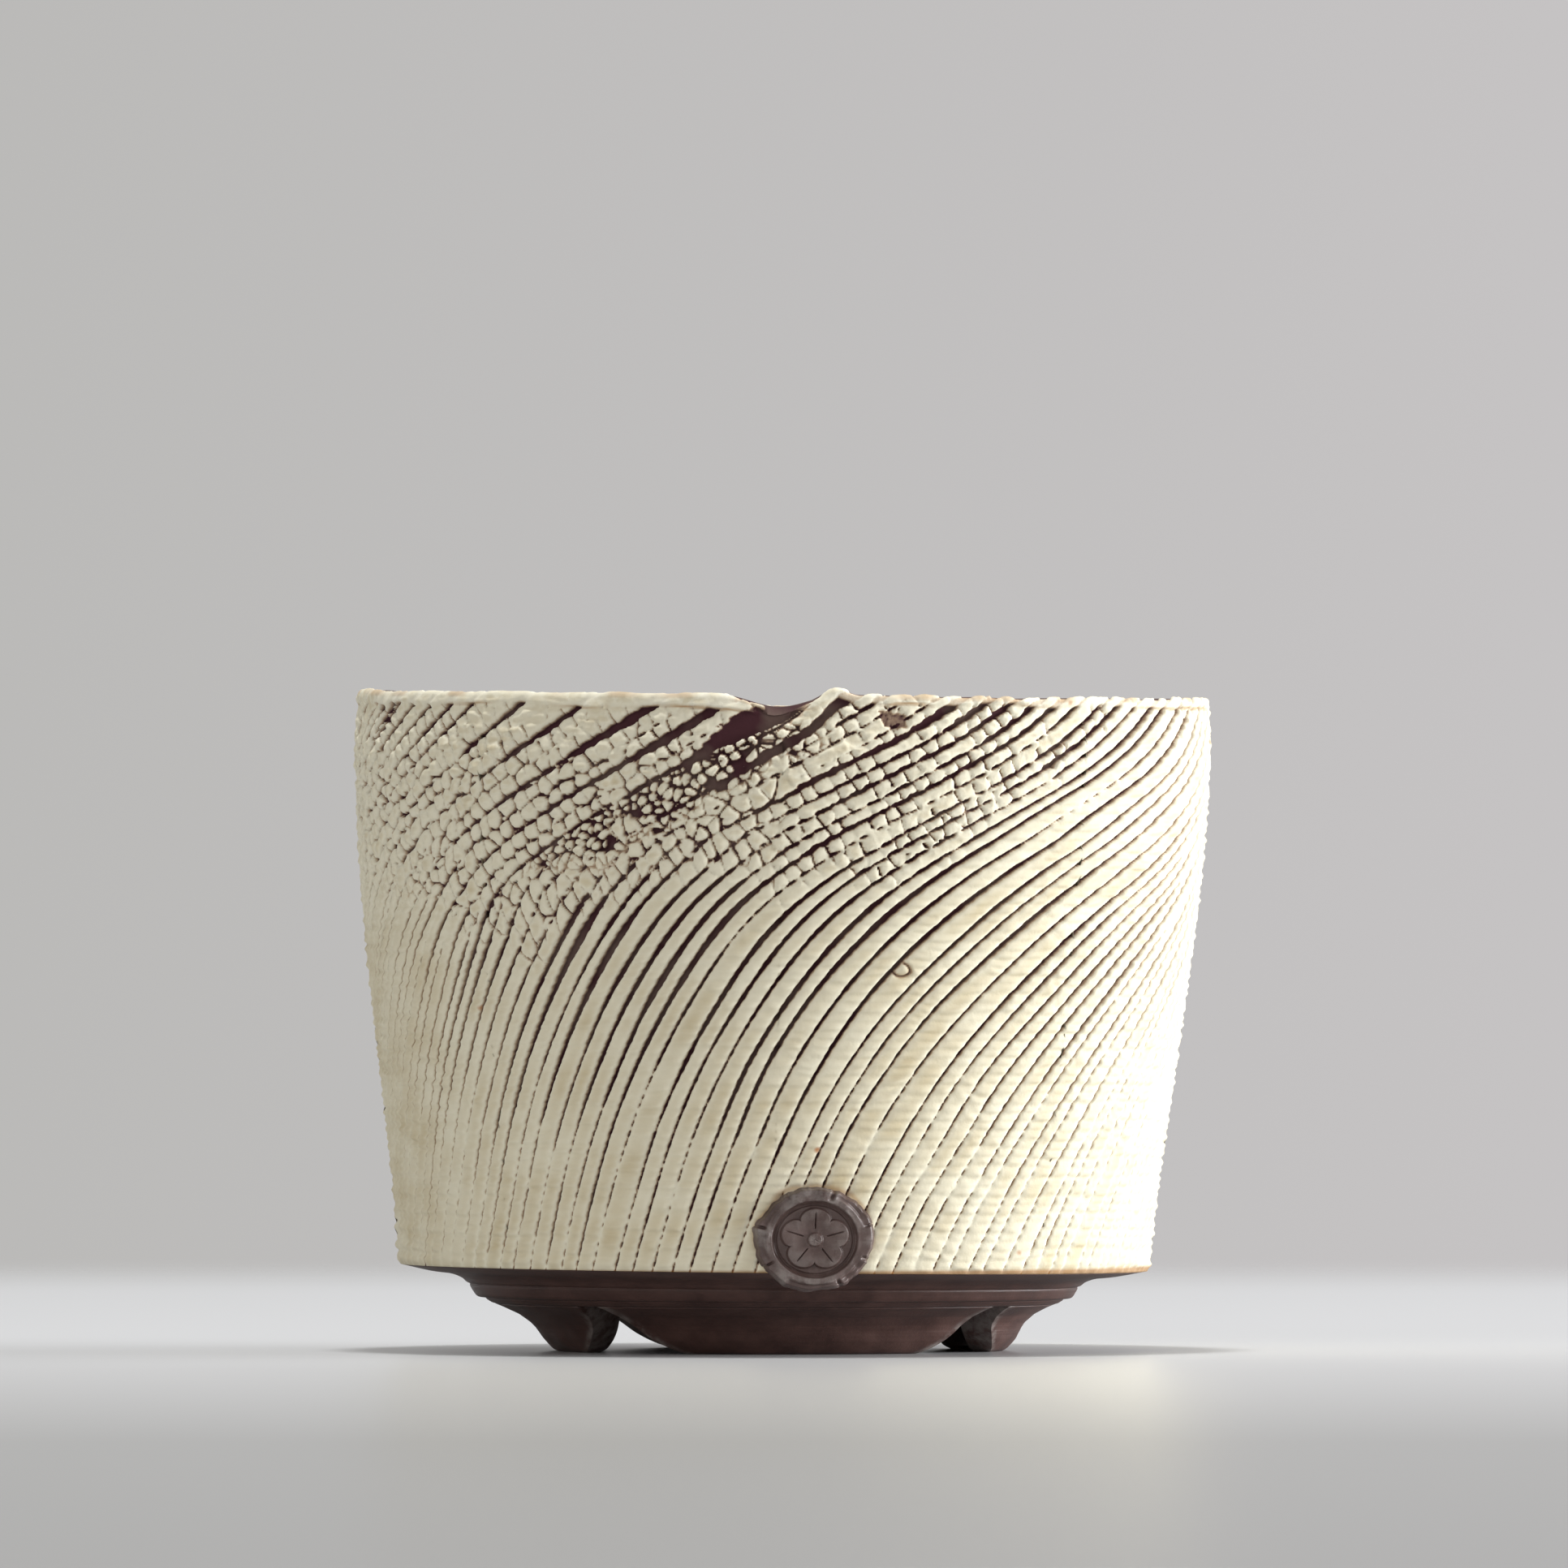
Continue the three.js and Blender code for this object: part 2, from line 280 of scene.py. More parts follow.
def furrow_lines(flow, heights, tear_foot):
    """For each furrow and height: its place along the foot and half its width, below 0 where it is shut."""
    rng = np.random.default_rng(5)
    gap = ROUND / STOUT
    middles = ((np.arange(STOUT) + 0.5) * gap + tear_foot) % ROUND
    spread = [np.interp(middles, flow.starts, row, period=ROUND) for row in flow.spread]
    ridge_mm = gap * np.array(spread).T
    thin_alive = smooth(ridge_mm - rng.uniform(2.75, 3.5, (STOUT, 1)), -0.35, 0.35)

    # A ridge is wider where a thin furrow still divides it, and its neighbours make room.
    share = 1 + 0.6 * thin_alive
    drift = np.cumsum(share / share.mean(0) - 1, axis=0) - 0.5 * share / share.mean(0)
    wide = np.concatenate([drift, drift, drift])
    reach = 4
    local = np.array([wide[STOUT + k - reach:STOUT + k + reach + 1].mean(0) for k in range(STOUT)])

    def uneven(step, size):
        """A line of random values from -size to size for each furrow, with a knot at each step of height."""
        knots = np.arange(-5, 100, step)
        at_knots = [rng.uniform(-size, size, len(knots)) for _ in range(STOUT)]
        return np.array([np.interp(heights, knots, values) for values in at_knots])

    number = np.arange(STOUT)[:, None]
    stout_place = number * gap + rng.uniform(-0.07, 0.07, (STOUT, 1)) * gap + (drift - local) * gap
    stout_place = stout_place + uneven(8.0, 0.16)
    stout_place = stout_place + tear_foot - stout_place[0, -10]
    following = np.concatenate([stout_place[1:], stout_place[:1] + ROUND])
    middle = 0.5 + rng.uniform(-0.1, 0.1, (STOUT, 1))
    thin_place = stout_place + (following - stout_place) * middle + uneven(8.0, 0.12)

    usual = np.interp(heights, (8, 16, 26, 36, 46, 52, 58, 63, 69, 75, 80),
                      (0.065, 0.075, 0.11, 0.18, 0.25, 0.27, 0.22, 0.16, 0.17, 0.22, 0.3))

    def widths(low, high):
        bold = rng.uniform(low, high, (STOUT, 1))
        long, rough = uneven(10.0, 0.3), uneven(2.3, 1)
        broken = 0.09 * np.clip(-rough - 0.15, 0, 1) * (1 - smooth(heights, 24, 42))
        return usual * (bold + long + 0.16 * rough) - broken

    stout_half = widths(0.75, 1.25)
    near_rim = smooth(heights, 58, 70)
    opening = np.interp(heights, (60, 78), (0.45, 1))
    for line, half in AT_RIM.items():
        stout_half[line] = stout_half[line] * (1 - near_rim) + near_rim * half * opening
    tear = np.interp(heights, (45, 58, 66, 70, 73, 76, 80), (0.25, 0.28, 0.34, 0.45, 0.85, 1.4, 2.1))
    stout_half[0] = np.maximum(stout_half[0], tear)
    fading = 1 - thin_alive
    thin_half = widths(0.55, 1.15) * (1 - fading) - 0.14 * fading
    place = np.stack([stout_place, thin_place], 1).reshape(FURROWS, -1)
    half = np.stack([stout_half, thin_half], 1).reshape(FURROWS, -1)
    return place, half, np.arange(FURROWS) % STOUT_EVERY == 0


def scale_floor(angle):
    """Height above which the ridges crack into scales."""
    corners = (-180, -130, -90, -60, -48, -38, -24, -7, 18, 30, 42, 54, 100, 140, 180)
    levels = (56, 60, 57, 55.5, 51, 47.5, 54, 57, 57.5, 63.5, 73, 79, 73, 59, 56)
    return np.interp(angle, corners, levels)


# ---------------------------------------------------------------- the slip's surface

ROW_STEP = 0.21
COLUMN_STEP = 0.19
COAT_PIECES = 8
LIP_R = 0.6  # the rim's rounding
THROWN_STEP = 1.1  # of the throwing lines that roughen the torn edges
SPLIT_WIDTH = 3.1  # a ridge wider than this cracks into two rows of scales
SCALE_LENGTH = 1.95
CRUMB_LENGTH = 1.4
DEEPEST = 1.2
DEEPEST_FURROW = 1.25
POCK_ANGLE, POCK_Z = 17.3, 47.0
POCKET_ANGLE, POCKET_Z = 14.9, 77.0
RIM_BAND, RIM_BAND_LEFT = 0.6, 1.1
SEAL_ANGLE = 5.9
SEAL_RISE = 4.1  # of its middle above the slip's lower edge
SEAL_W = 14.3
SEAL_H = 12.8


def coat_profile():
    """The slip's section from its lower edge, up the flank and over the rim, in even steps."""
    z = np.linspace(HEEL_Z, RIM_Z - LIP_R, 600)
    r = flank(z)
    turn = np.linspace(0, 0.5 * math.pi, 30)[1:]
    lip_z = RIM_Z - LIP_R + LIP_R * np.sin(turn)
    lip_r = r[-1] - LIP_R + LIP_R * np.cos(turn)
    z, r = np.append(z, lip_z), np.append(r, lip_r)
    walked = np.append(0, np.cumsum(np.hypot(np.diff(z), np.diff(r))))
    steps = np.linspace(0, walked[-1], int(walked[-1] / ROW_STEP))
    z, r = np.interp(steps, walked, z), np.interp(steps, walked, r)
    dz, dr = np.gradient(z), np.gradient(r)
    size = np.hypot(dz, dr)
    return z, r, dz / size, -dr / size, HEEL_Z + steps


SCALE_LEAN = 29 * DEG  # of the ridges above level where they crack into scales


def cells(row, stride, share, along, row_width, length, disorder, seed):
    """Cells in rows beside each other: mm to the nearest border and to the next one, whether that border lies
    between two cells of one row, the border's own random number, the cell's, and how far its face slants out.
    The next row's number is larger by stride."""
    x = share * row_width
    around = int(round(ROUND * math.cos(SCALE_LEAN) / length))
    length = ROUND * math.cos(SCALE_LEAN) / around

    def seat(side, step):
        mine = (row + side * stride) % (2 * STOUT)
        shift = chance(mine, 3, seed) * 7
        j = np.floor(along / length - shift).astype(int) + step
        own = chance(mine, j % around, seed + 1)
        seat_x = (side + 0.5 + 0.55 * disorder * (chance(mine, j % around, seed + 2) - 0.5)) * row_width
        seat_y = (j + shift + 0.5 + 0.8 * disorder * (own - 0.5)) * length
        return seat_x, seat_y, own

    seats = [(side, *seat(side, step)) for side in (-1, 0, 1) for step in (-2, -1, 0, 1, 2)]
    reach = [np.hypot(x - sx, along - sy) for _, sx, sy, _ in seats]
    nearest = np.argmin(reach, axis=0)

    def of_nearest(values):
        return np.take_along_axis(np.stack(values), nearest[None], 0)[0]

    near_x, near_y = of_nearest([s[1] for s in seats]), of_nearest([s[2] for s in seats])
    near_own, near_reach = of_nearest([s[3] for s in seats]), of_nearest(reach)
    near_side = np.array([s[0] for s in seats])[nearest]
    border, corner = np.full(share.shape, 9.0), np.full(share.shape, 9.0)
    same_row, border_own = np.zeros(share.shape, bool), np.zeros(share.shape)
    for (side, sx, sy, own), r in zip(seats, reach):
        apart = np.maximum(np.hypot(sx - near_x, sy - near_y), 0.05)
        away = (r**2 - near_reach**2) / (2 * apart)
        away = np.where(apart < 0.06, 9, away)
        closer = away < border
        corner = np.where(closer, border, np.minimum(corner, away))
        same_row = np.where(closer, side == near_side, same_row)
        border_own = np.where(closer, (own + near_own) * 37.7 % 1, border_own)
        border = np.where(closer, away, border)
    tilt = (x - near_x) * (chance(np.round(near_own * 1e6), 3) - 0.5) + (along - near_y) * (near_own - 0.5)
    return border, corner, same_row, border_own, near_own, tilt


def nearest_furrows(flow, place, half, stout):
    """For each point, the four furrows beside it: mm along the foot to each and its half width. Then which
    ridge between stout furrows the point is on, how far across it, and how wide it is along the foot."""
    shape = flow.foot.shape
    away, width = np.zeros((4, *shape)), np.zeros((4, *shape))
    ridge, share, ridge_width = np.zeros(shape, int), np.zeros(shape), np.zeros(shape)
    stout_number = np.flatnonzero(stout)
    for row in range(shape[0]):
        order = np.argsort(place[:, row])
        sorted_place = place[order, row]
        foot = (flow.foot[row] - sorted_place[0]) % ROUND + sorted_place[0]
        right = np.searchsorted(sorted_place, foot, side="right")
        for slot, shift in enumerate((-2, -1, 0, 1)):
            index = right + shift
            line = order[index % FURROWS]
            away[slot, row] = foot - (place[line, row] + np.floor_divide(index, FURROWS) * ROUND)
            width[slot, row] = half[line, row]
        edges = place[stout_number, row]
        foot = (flow.foot[row] - edges[0]) % ROUND + edges[0]
        k = np.searchsorted(edges, foot, side="right") - 1
        edges = np.append(edges, edges[0] + ROUND)
        ridge[row] = k
        ridge_width[row] = edges[k + 1] - edges[k]
        share[row] = (foot - edges[k]) / ridge_width[row]
    return away, width, ridge, share, ridge_width


def draw_relief(heights, columns):
    """The torn slip laid out flat: relief in mm, and from 0 to 1 how bare each place is, how much it is a
    ridge's crown, how near it is to a torn edge (where the slip gets a painted highlight), and how rusty it
    is."""
    flow = Flow(heights, columns)
    u, z = np.meshgrid(columns, heights)
    angle = (u / LAY_R / DEG + 180) % 360 - 180
    tear_row = int(np.argmin(np.abs(heights - TEAR_Z)))
    tear_foot = float(np.interp((TEAR_ANGLE % 360) * DEG * LAY_R, columns, flow.foot[tear_row]))
    place, half, stout = furrow_lines(flow, heights, tear_foot)
    away, width, ridge, share, ridge_width = nearest_furrows(flow, place, half, stout)

    ragged = 0.04 * grain(u, z, 0.9, 31) + 0.045 * grain(u, z, 0.45, 32) + 0.05 * grain(u, z, 2.4, 33)
    thrown = np.sin(2 * math.pi * (z / THROWN_STEP + 0.4 * grain(u, z, (14, 5), 41)))
    ragged = ragged + 0.045 * thrown
    zone = smooth(z - scale_floor(angle) + 3 * grain(u, z, 6, 34), -3, 3)
    slab = smooth(z, 74.5, 77) * smooth(grain(u, z, (9, 5), 37) + 0.1, -0.2, 0.2)
    zone = zone * (1 - 0.45 * slab)
    leftish = smooth(turn_between(angle, -52), 62, 40)
    disorder = 0.42 + 0.6 * leftish * (1 - 0.6 * smooth(z, 70, 75)) + 0.12 * grain(u, z, 9, 38)
    muddled = smooth(disorder, 0.65, 0.95) * zone
    from_tear = ridge + share
    beside_tear = smooth(from_tear, -0.3, 0.1) * (1 - smooth(from_tear + 0.5 * grain(u, z, 3, 39), 2.0, 3.0))
    crumbly = beside_tear * smooth(z, 57, 61) * (1 - smooth(z, 75.5, 78) * smooth(from_tear, 0.4, 1.6))
    crumbly = crumbly * smooth(1 + 0.9 * grain(u, z, 4, 35), 0.2, 0.6)

    across_mm = ridge_width * flow.across
    along = u * math.cos(SCALE_LEAN) + z * math.sin(SCALE_LEAN)
    warp = 0.16 * grain(u, z, 1.3, 36)
    split = across_mm > SPLIT_WIDTH - 0.45 * leftish
    row = np.where(split, 2 * ridge + (share > 0.5), 2 * ridge)
    row_share, row_width = np.where(split, share * 2 % 1, share), np.where(split, 0.5, 1) * across_mm
    border, corner, same_row, border_own, cell_own, tilt = cells(
        row, np.where(split, 1, 2), row_share + warp / 2.6, along + warp, row_width, SCALE_LENGTH,
        np.clip(disorder, 0.3, 1.4), 5)
    fine_border, fine_corner, _, _, crumb_own, crumb_tilt = cells(
        2 * ridge + (share > 0.5), 1, share * 2 % 1, along + 1.5 * warp, 0.5 * across_mm, CRUMB_LENGTH,
        1.4, 9)

    shape = u.shape
    walls, shoulders, bare = np.zeros(shape), np.zeros(shape), np.zeros(shape)

    def carve(edge, depth, opened, rounding, weight, soft=0.14):
        """Cuts down where edge, the mm to the cut's side, is below 0, and rounds the slip off beside it."""
        nonlocal walls, shoulders, bare
        walls = np.maximum(walls, opened * depth * smooth(edge, 0.12, -0.12))
        shoulders = shoulders + weight * np.exp(-np.maximum(edge, 0) / rounding)
        bare = np.maximum(bare, opened * smooth(edge, soft, -0.08))

    boldness = 1 + 0.5 * bump(turn_between(angle, -36), 22) * bump(z - 51, 12)
    boldness = boldness - 0.38 * smooth(angle, 8, 30) * (1 - smooth(z, 32, 50))
    at_sides = smooth(np.abs(angle), 45, 62) * (1 - smooth(z, 48, 62))
    boldness = boldness - np.where(angle < 0, 0.55, 0.35) * at_sides
    scallop = 0.22 * (cell_own - 0.5) * zone
    closed = smooth(angle, -48, -60) * (1 - smooth(z, 46, 58))
    for slot in range(4):
        open_half = width[slot] * boldness * (1 - 0.35 * muddled) - 0.07 * muddled
        open_half = open_half + ragged * (0.6 + 0.9 * zone) + scallop * smooth(width[slot], 0.08, 0.3)
        edge = np.abs(away[slot]) * flow.across - open_half
        depth = np.clip(0.4 + 2.6 * np.maximum(open_half, 0), 0, DEEPEST_FURROW)
        weight = smooth(open_half, -0.18, 0.05) * (1 - 0.6 * closed)
        carve(edge, depth, smooth(open_half, -0.01, 0.07), 0.42, weight)

    crack_half = 0.01 + 0.08 * border_own**1.5 + 0.1 * smooth(corner - border, 0.35, 0.0)
    kept = smooth(border_own + 0.3 * leftish + 0.25 * (zone - 1), 0.22, 0.42)
    crack = zone * np.where(same_row, 1, muddled) * kept * (1 - 0.8 * crumbly)
    crack_edge = border - crack_half * (0.55 + 0.45 * zone) - 0.6 * ragged
    carve(crack_edge, 0.75, (0.6 + 0.35 * border_own) * crack, 0.3, 0.95 * crack, 0.11)
    crumb_edge = fine_border - 0.06 - 0.1 * smooth(fine_corner - fine_border, 0.4, 0.0) - 0.6 * ragged
    carve(crumb_edge, 0.8, crumbly, 0.26, 0.8 * crumbly, 0.12)
    lost = smooth(crumbly, 0.3, 0.6) * (crumb_own < 0.05)
    walls = np.maximum(walls, 1.05 * lost)
    bare = np.maximum(bare, lost)

    shoulders = np.minimum(shoulders, 1.7)
    relief = -np.minimum(walls + 0.3 * shoulders, DEEPEST)
    relief = relief + (0.24 * (cell_own - 0.5) + 0.14 * tilt) * zone * (1 - bare)
    relief = relief + (0.55 * (crumb_own - 0.4) + 0.4 * crumb_tilt) * crumbly * (1 - bare)
    relief = relief + 0.085 * thrown * (1 - bare) * (1 - 0.5 * zone)

    # A pock left by a burst grain, and a pocket near the rim where the slip is gone.
    pock = 0.35 * grain(u, z, 1.3, 51)
    reach = np.hypot(turn_between(angle, POCK_ANGLE) * DEG * LAY_R, (z - POCK_Z) * 1.2) + pock
    arc = bump(reach - 1.15, 0.35) * smooth(grain(u, z, 1.6, 55) + 0.2, -0.1, 0.25)
    relief = relief - 0.45 * arc + 0.15 * bump(reach, 0.9)
    bare = np.maximum(bare, 0.75 * arc)
    torn = 0.5 * grain(u, z, 0.9, 58) + 0.35 * grain(u, z, 0.45, 59)
    beside = np.abs(turn_between(angle, POCKET_ANGLE) * DEG * LAY_R)
    pocket = smooth(np.maximum(beside, np.abs(z - POCKET_Z) * 1.6) + torn, 1.55, 1.1)
    relief = np.minimum(relief, relief * (1 - pocket) - (0.75 + 0.2 * torn) * pocket)
    bare = np.maximum(bare, (0.68 + 0.25 * torn) * pocket)

    # The slip rolls over the rim in a band, which is wider on the left and covers more of the furrows' ends.
    ahead = np.abs(turn_between(angle, 85)) < 84
    waver = 0.35 * grain(u, z, (7, 60), 52) + 0.22 * grain(u, z, (1.5, 60), 57)
    edge = z - (RIM_Z - np.where(ahead, RIM_BAND, RIM_BAND_LEFT) + waver)
    rolled = smooth(edge, -0.15, 0.2) * (1 - bump(turn_between(angle, -1.5), 6.5))
    covers = rolled * np.where(ahead, 0.7, 0.9)
    relief = relief * (1 - covers) + 0.12 * rolled
    bare = bare * (1 - covers)
    rust = bump(edge + 0.05, 0.28) * smooth(grain(u, z, (5, 60), 53), -0.5, 0.4)
    rust = rust * (1 - smooth(bare, 0.2, 0.5))
    on_rim = smooth(z, RIM_Z - 0.35, RIM_Z) * smooth(grain(u, z, (4, 60), 54), 0, 0.5)
    rust = np.maximum(0.9 * rust, 0.5 * on_rim)

    beside = turn_between(angle, SEAL_ANGLE) * DEG * LAY_R * 0.94
    from_seal = np.hypot(beside / 7.2, (z - HEEL_Z - SEAL_RISE) / 6.5)
    stain = bump(from_seal - 0.99 - 0.05 * grain(u, z, 2, 56), 0.1)
    rust = np.maximum(rust, 0.6 * stain * smooth(z, HEEL_Z + 1, HEEL_Z + 5))

    crown = np.clip(1 - shoulders / 0.75, 0, 1)
    # Painted highlight: this share makes the slip paler and cooler beside the torn edges, standing in for
    # light on the ridges' flanks.
    painted_edge_highlight = np.clip(shoulders - 0.55, 0, 1)
    return {"relief": relief, "bare": bare, "crown": crown, "painted_edge_highlight": painted_edge_highlight, "rust": rust}


def coat_pieces(tree, material):
    """The slip as closed pieces that meet edge to edge round the pot."""
    z, r, out_r, out_z, walked = coat_profile()
    across = int(ROUND / COLUMN_STEP / COAT_PIECES)
    count = across * COAT_PIECES
    columns = np.arange(count) * ROUND / count
    maps = draw_relief(walked, columns)
    share = np.clip((z - SHOULDER_Z) / (RIM_Z - SHOULDER_Z), 0, 1)[:, None]
    lift = share * rim_lift(columns / LAY_R / DEG)
    hem = smooth(walked, HEEL_Z + 0.5, HEEL_Z)[:, None]  # the lower edge is pinched in
    maps["face"] = np.broadcast_to(1 - hem, lift.shape)

    # The back needs few rows. The first two lie close behind the rounded rim.
    rows = len(z)
    back_rows = np.append([rows - 1, rows - 4], np.linspace(rows - 14, 0, 7).astype(int))
    back_r = flank(np.clip(z[back_rows], HEEL_Z, RIM_Z)) - SLIP_T - BOND + 0.03
    back_r[0] = r[-1] - 0.15
    back_z = z[back_rows]
    back_z[0] -= 0.15
    made = []
    for piece in range(COAT_PIECES):
        take = np.arange(piece * across, (piece + 1) * across + 1)
        wrap = take % count
        at = take * ROUND / count / LAY_R / DEG
        face = ring_point(r[:, None] - 0.35 * hem, at, z[:, None] + lift[:, wrap])
        back = ring_point(back_r[:, None], at, back_z[:, None] + lift[back_rows][:, wrap])
        sheet = np.concatenate([face, back])
        faces = grid_faces(*sheet.shape[:2], closed_rows=True)
        coat = mesh_object(f"slip_coat_{piece + 1}", sheet, faces, [])
        add_end_caps(coat, rows, back_rows, len(take))
        for name, values in maps.items():
            on_back = np.full((len(back), len(take)), 1.0 if name == "bare" else 0.0)
            keep_values(coat, name, np.concatenate([values[:, wrap], on_back]))
        out_r_here, out_z_here = np.broadcast_arrays(out_r[:, None], out_z[:, None] + 0 * at)
        outward = np.stack([out_r_here * np.sin(at * DEG), -out_r_here * np.cos(at * DEG), out_z_here], -1)
        keep_values(coat, "outward", np.concatenate([outward, np.zeros_like(back)]), "FLOAT_VECTOR")
        made.append(run_tree(coat, tree, COAT_SIZES, material))
    share_seam_normals(made, across + 1)
    return made


def share_seam_normals(made, across):
    """Shades the pieces as one surface: where two meet, both take the mean of their normals."""
    meshes = [piece.data for piece in made]
    normals = []
    for mesh in meshes:
        corners = np.empty(3 * len(mesh.loops), np.float32)
        mesh.corner_normals.foreach_get("vector", corners)
        at = np.empty(len(mesh.loops), np.int32)
        mesh.loops.foreach_get("vertex_index", at)
        rounded = np.empty(len(mesh.polygons), bool)
        mesh.polygons.foreach_get("use_smooth", rounded)
        sides = np.empty(len(mesh.polygons), np.int32)
        mesh.polygons.foreach_get("loop_total", sides)
        keep = np.repeat(rounded, sides)
        total = np.zeros((len(mesh.vertices), 3))
        for axis in range(3):
            total[:, axis] = np.bincount(at[keep], corners[axis::3][keep], len(total))
        normals.append(total / np.linalg.norm(total, axis=1)[:, None])
    for left, right in zip(normals, normals[1:] + normals[:1]):
        mean = left[across - 1::across] + right[::across]
        mean = mean / np.linalg.norm(mean, axis=1)[:, None]
        left[across - 1::across] = mean
        right[::across] = mean
    for mesh, normal in zip(meshes, normals):
        mesh.normals_split_custom_set_from_vertices(normal.tolist())


def add_end_caps(made, rows, back_rows, across):
    """Closes a piece's two cut ends with triangles, each from an edge of the face to the back behind it."""
    behind = rows + np.argmin(np.abs(back_rows[None, :] - np.arange(rows)[:, None]), axis=1)
    corners = []
    for row in range(rows - 1):
        corners.append((row, row + 1, behind[row]))
        if behind[row + 1] != behind[row]:
            corners.append((row + 1, behind[row + 1], behind[row]))
    work = open_mesh(made)
    for column, turn in ((0, 1), (across - 1, -1)):
        for three in corners:
            work.faces.new([work.verts[i * across + column] for i in three[::turn]]).smooth = False
    close_mesh(work, made)


# ---------------------------------------------------------------- geometry nodes

class Tree:
    """A few words for writing a geometry or shader tree."""

    def __init__(self, tree):
        self.tree = tree

    def node(self, kind, inputs=None, **settings):
        made = self.tree.nodes.new(kind)
        for key, value in settings.items():
            setattr(made, key, value)
        for key, value in (inputs or {}).items():
            self.feed(made.inputs[key], value)
        return made

    def feed(self, socket, value):
        if hasattr(value, "links"):
            self.tree.links.new(value, socket)
        elif hasattr(value, "outputs"):
            self.tree.links.new(value.outputs[0], socket)
        else:
            socket.default_value = value

    def math(self, operation, a, b=0.0, c=0.0):
        made = self.node("ShaderNodeMath", operation=operation)
        for socket, value in zip(made.inputs, (a, b, c)):
            self.feed(socket, value)
        return made.outputs[0]

    def times(self, a, b):
        return self.math("MULTIPLY", a, b)

    def ranged(self, value, low, high, to_low=0.0, to_high=1.0, **settings):
        """Goes from to_low to to_high as the value goes from low to high, and no further."""
        return self.node("ShaderNodeMapRange", {0: value, 1: low, 2: high, 3: to_low, 4: to_high}, **settings)

    def kept(self, name):
        """A value kept on the mesh, read in a material."""
        return self.node("ShaderNodeAttribute", attribute_name=name).outputs["Fac"]

    def vector(self, operation, a, b=(0, 0, 0)):
        made = self.node("ShaderNodeVectorMath", operation=operation)
        self.feed(made.inputs[0], a)
        if operation == "SCALE":
            self.feed(made.inputs["Scale"], b)
        else:
            self.feed(made.inputs[1], b)
        return made.outputs[0]


def new_geometry_tree(name, sizes):
    group = bpy.data.node_groups.new(name, "GeometryNodeTree")
    group.interface.new_socket("Geometry", in_out="INPUT", socket_type="NodeSocketGeometry")
    for size, value in sizes.items():
        socket = group.interface.new_socket(size, in_out="INPUT", socket_type="NodeSocketFloat")
        socket.default_value = value
    group.interface.new_socket("Material", in_out="INPUT", socket_type="NodeSocketMaterial")
    group.interface.new_socket("Geometry", in_out="OUTPUT", socket_type="NodeSocketGeometry")
    return Tree(group)


COAT_SIZES = {
    "Furrow Depth": 1.0,
    "Throwing Step": 2.2,
    "Throwing Depth": 0.06,
    "Fine Step": 0.95,
    "Fine Depth": 0.028,
    "Grit Size": 0.7,
    "Grit Depth": 0.07,
}


def coat_tree():
    """Pushes the slip's face out and in: furrows and scales from the layout, then throwing lines and grit."""
    t = new_geometry_tree("torn slip", COAT_SIZES)
    given = t.node("NodeGroupInput")
    kinds = {"relief": "FLOAT", "face": "FLOAT", "crown": "FLOAT", "outward": "FLOAT_VECTOR"}
    relief, face, crown, outward = (
        t.node("GeometryNodeInputNamedAttribute", {"Name": name}, data_type=kind).outputs[0]
        for name, kind in kinds.items())
    in_mm = t.vector("SCALE", t.node("GeometryNodeInputPosition"), 1 / MM)
    apart = t.node("ShaderNodeSeparateXYZ", {0: in_mm})

    def rings(step, seed, swing):
        """Level rings at an even step that wander a little and come and go."""
        slow, strength = (
            t.node("ShaderNodeTexNoise", {"Vector": in_mm, "W": w, "Scale": scale, "Detail": 1.0},
                   noise_dimensions="4D").outputs[0]
            for w, scale in ((seed, 0.11), (seed + 9, 0.2)))
        phase = t.math("MULTIPLY_ADD", slow, swing, t.math("DIVIDE", apart.outputs["Z"], step))
        wave = t.math("SINE", t.times(phase, 2 * math.pi))
        return t.times(wave, t.math("MULTIPLY_ADD", strength, 2.4, -0.6))

    coarse = t.times(rings(given.outputs["Throwing Step"], 3.0, 2.5), given.outputs["Throwing Depth"])
    fine = t.times(rings(given.outputs["Fine Step"], 7.0, 4.0), given.outputs["Fine Depth"])
    grit_at = t.vector("SCALE", in_mm, t.math("DIVIDE", 1.0, given.outputs["Grit Size"]))
    grit = t.times(t.math("SUBTRACT", noise(t, grit_at, 1.0), 0.5), given.outputs["Grit Depth"])
    beads = t.times(t.math("ADD", coarse, fine), t.math("MULTIPLY_ADD", crown, 2.2, 0.6))
    torn = t.times(relief, given.outputs["Furrow Depth"])
    pushed = t.times(t.math("ADD", t.math("ADD", torn, beads), grit), t.times(face, MM))
    offset = t.vector("SCALE", outward, pushed)
    moved = t.node("GeometryNodeSetPosition", {"Geometry": given.outputs["Geometry"], "Offset": offset})
    whole = t.node("GeometryNodeRealizeInstances", {0: moved})
    done = t.node("GeometryNodeSetMaterial", {"Geometry": whole, "Material": given.outputs["Material"]})
    t.node("NodeGroupOutput", {"Geometry": done})
    return t.tree


def run_tree(made, tree, sizes, material):
    """Runs a geometry tree on an object and returns its plain result, under the same name."""
    modifier = made.modifiers.new(tree.name, "NODES")
    modifier.node_group = tree
    for item in tree.interface.items_tree:
        if item.in_out == "INPUT" and item.name in sizes:
            modifier[item.identifier] = sizes[item.name]
        if item.in_out == "INPUT" and item.name == "Material":
            modifier[item.identifier] = material
    bpy.context.view_layer.update()
    graph = bpy.context.evaluated_depsgraph_get()
    settled = made.evaluated_get(graph)
    mesh = bpy.data.meshes.new_from_object(settled, preserve_all_data_layers=True, depsgraph=graph)
    name, old = made.name, made.data
    made.modifiers.clear()
    made.data = mesh
    bpy.data.meshes.remove(old)
    mesh.name = name
    return made


# ---------------------------------------------------------------- finishes

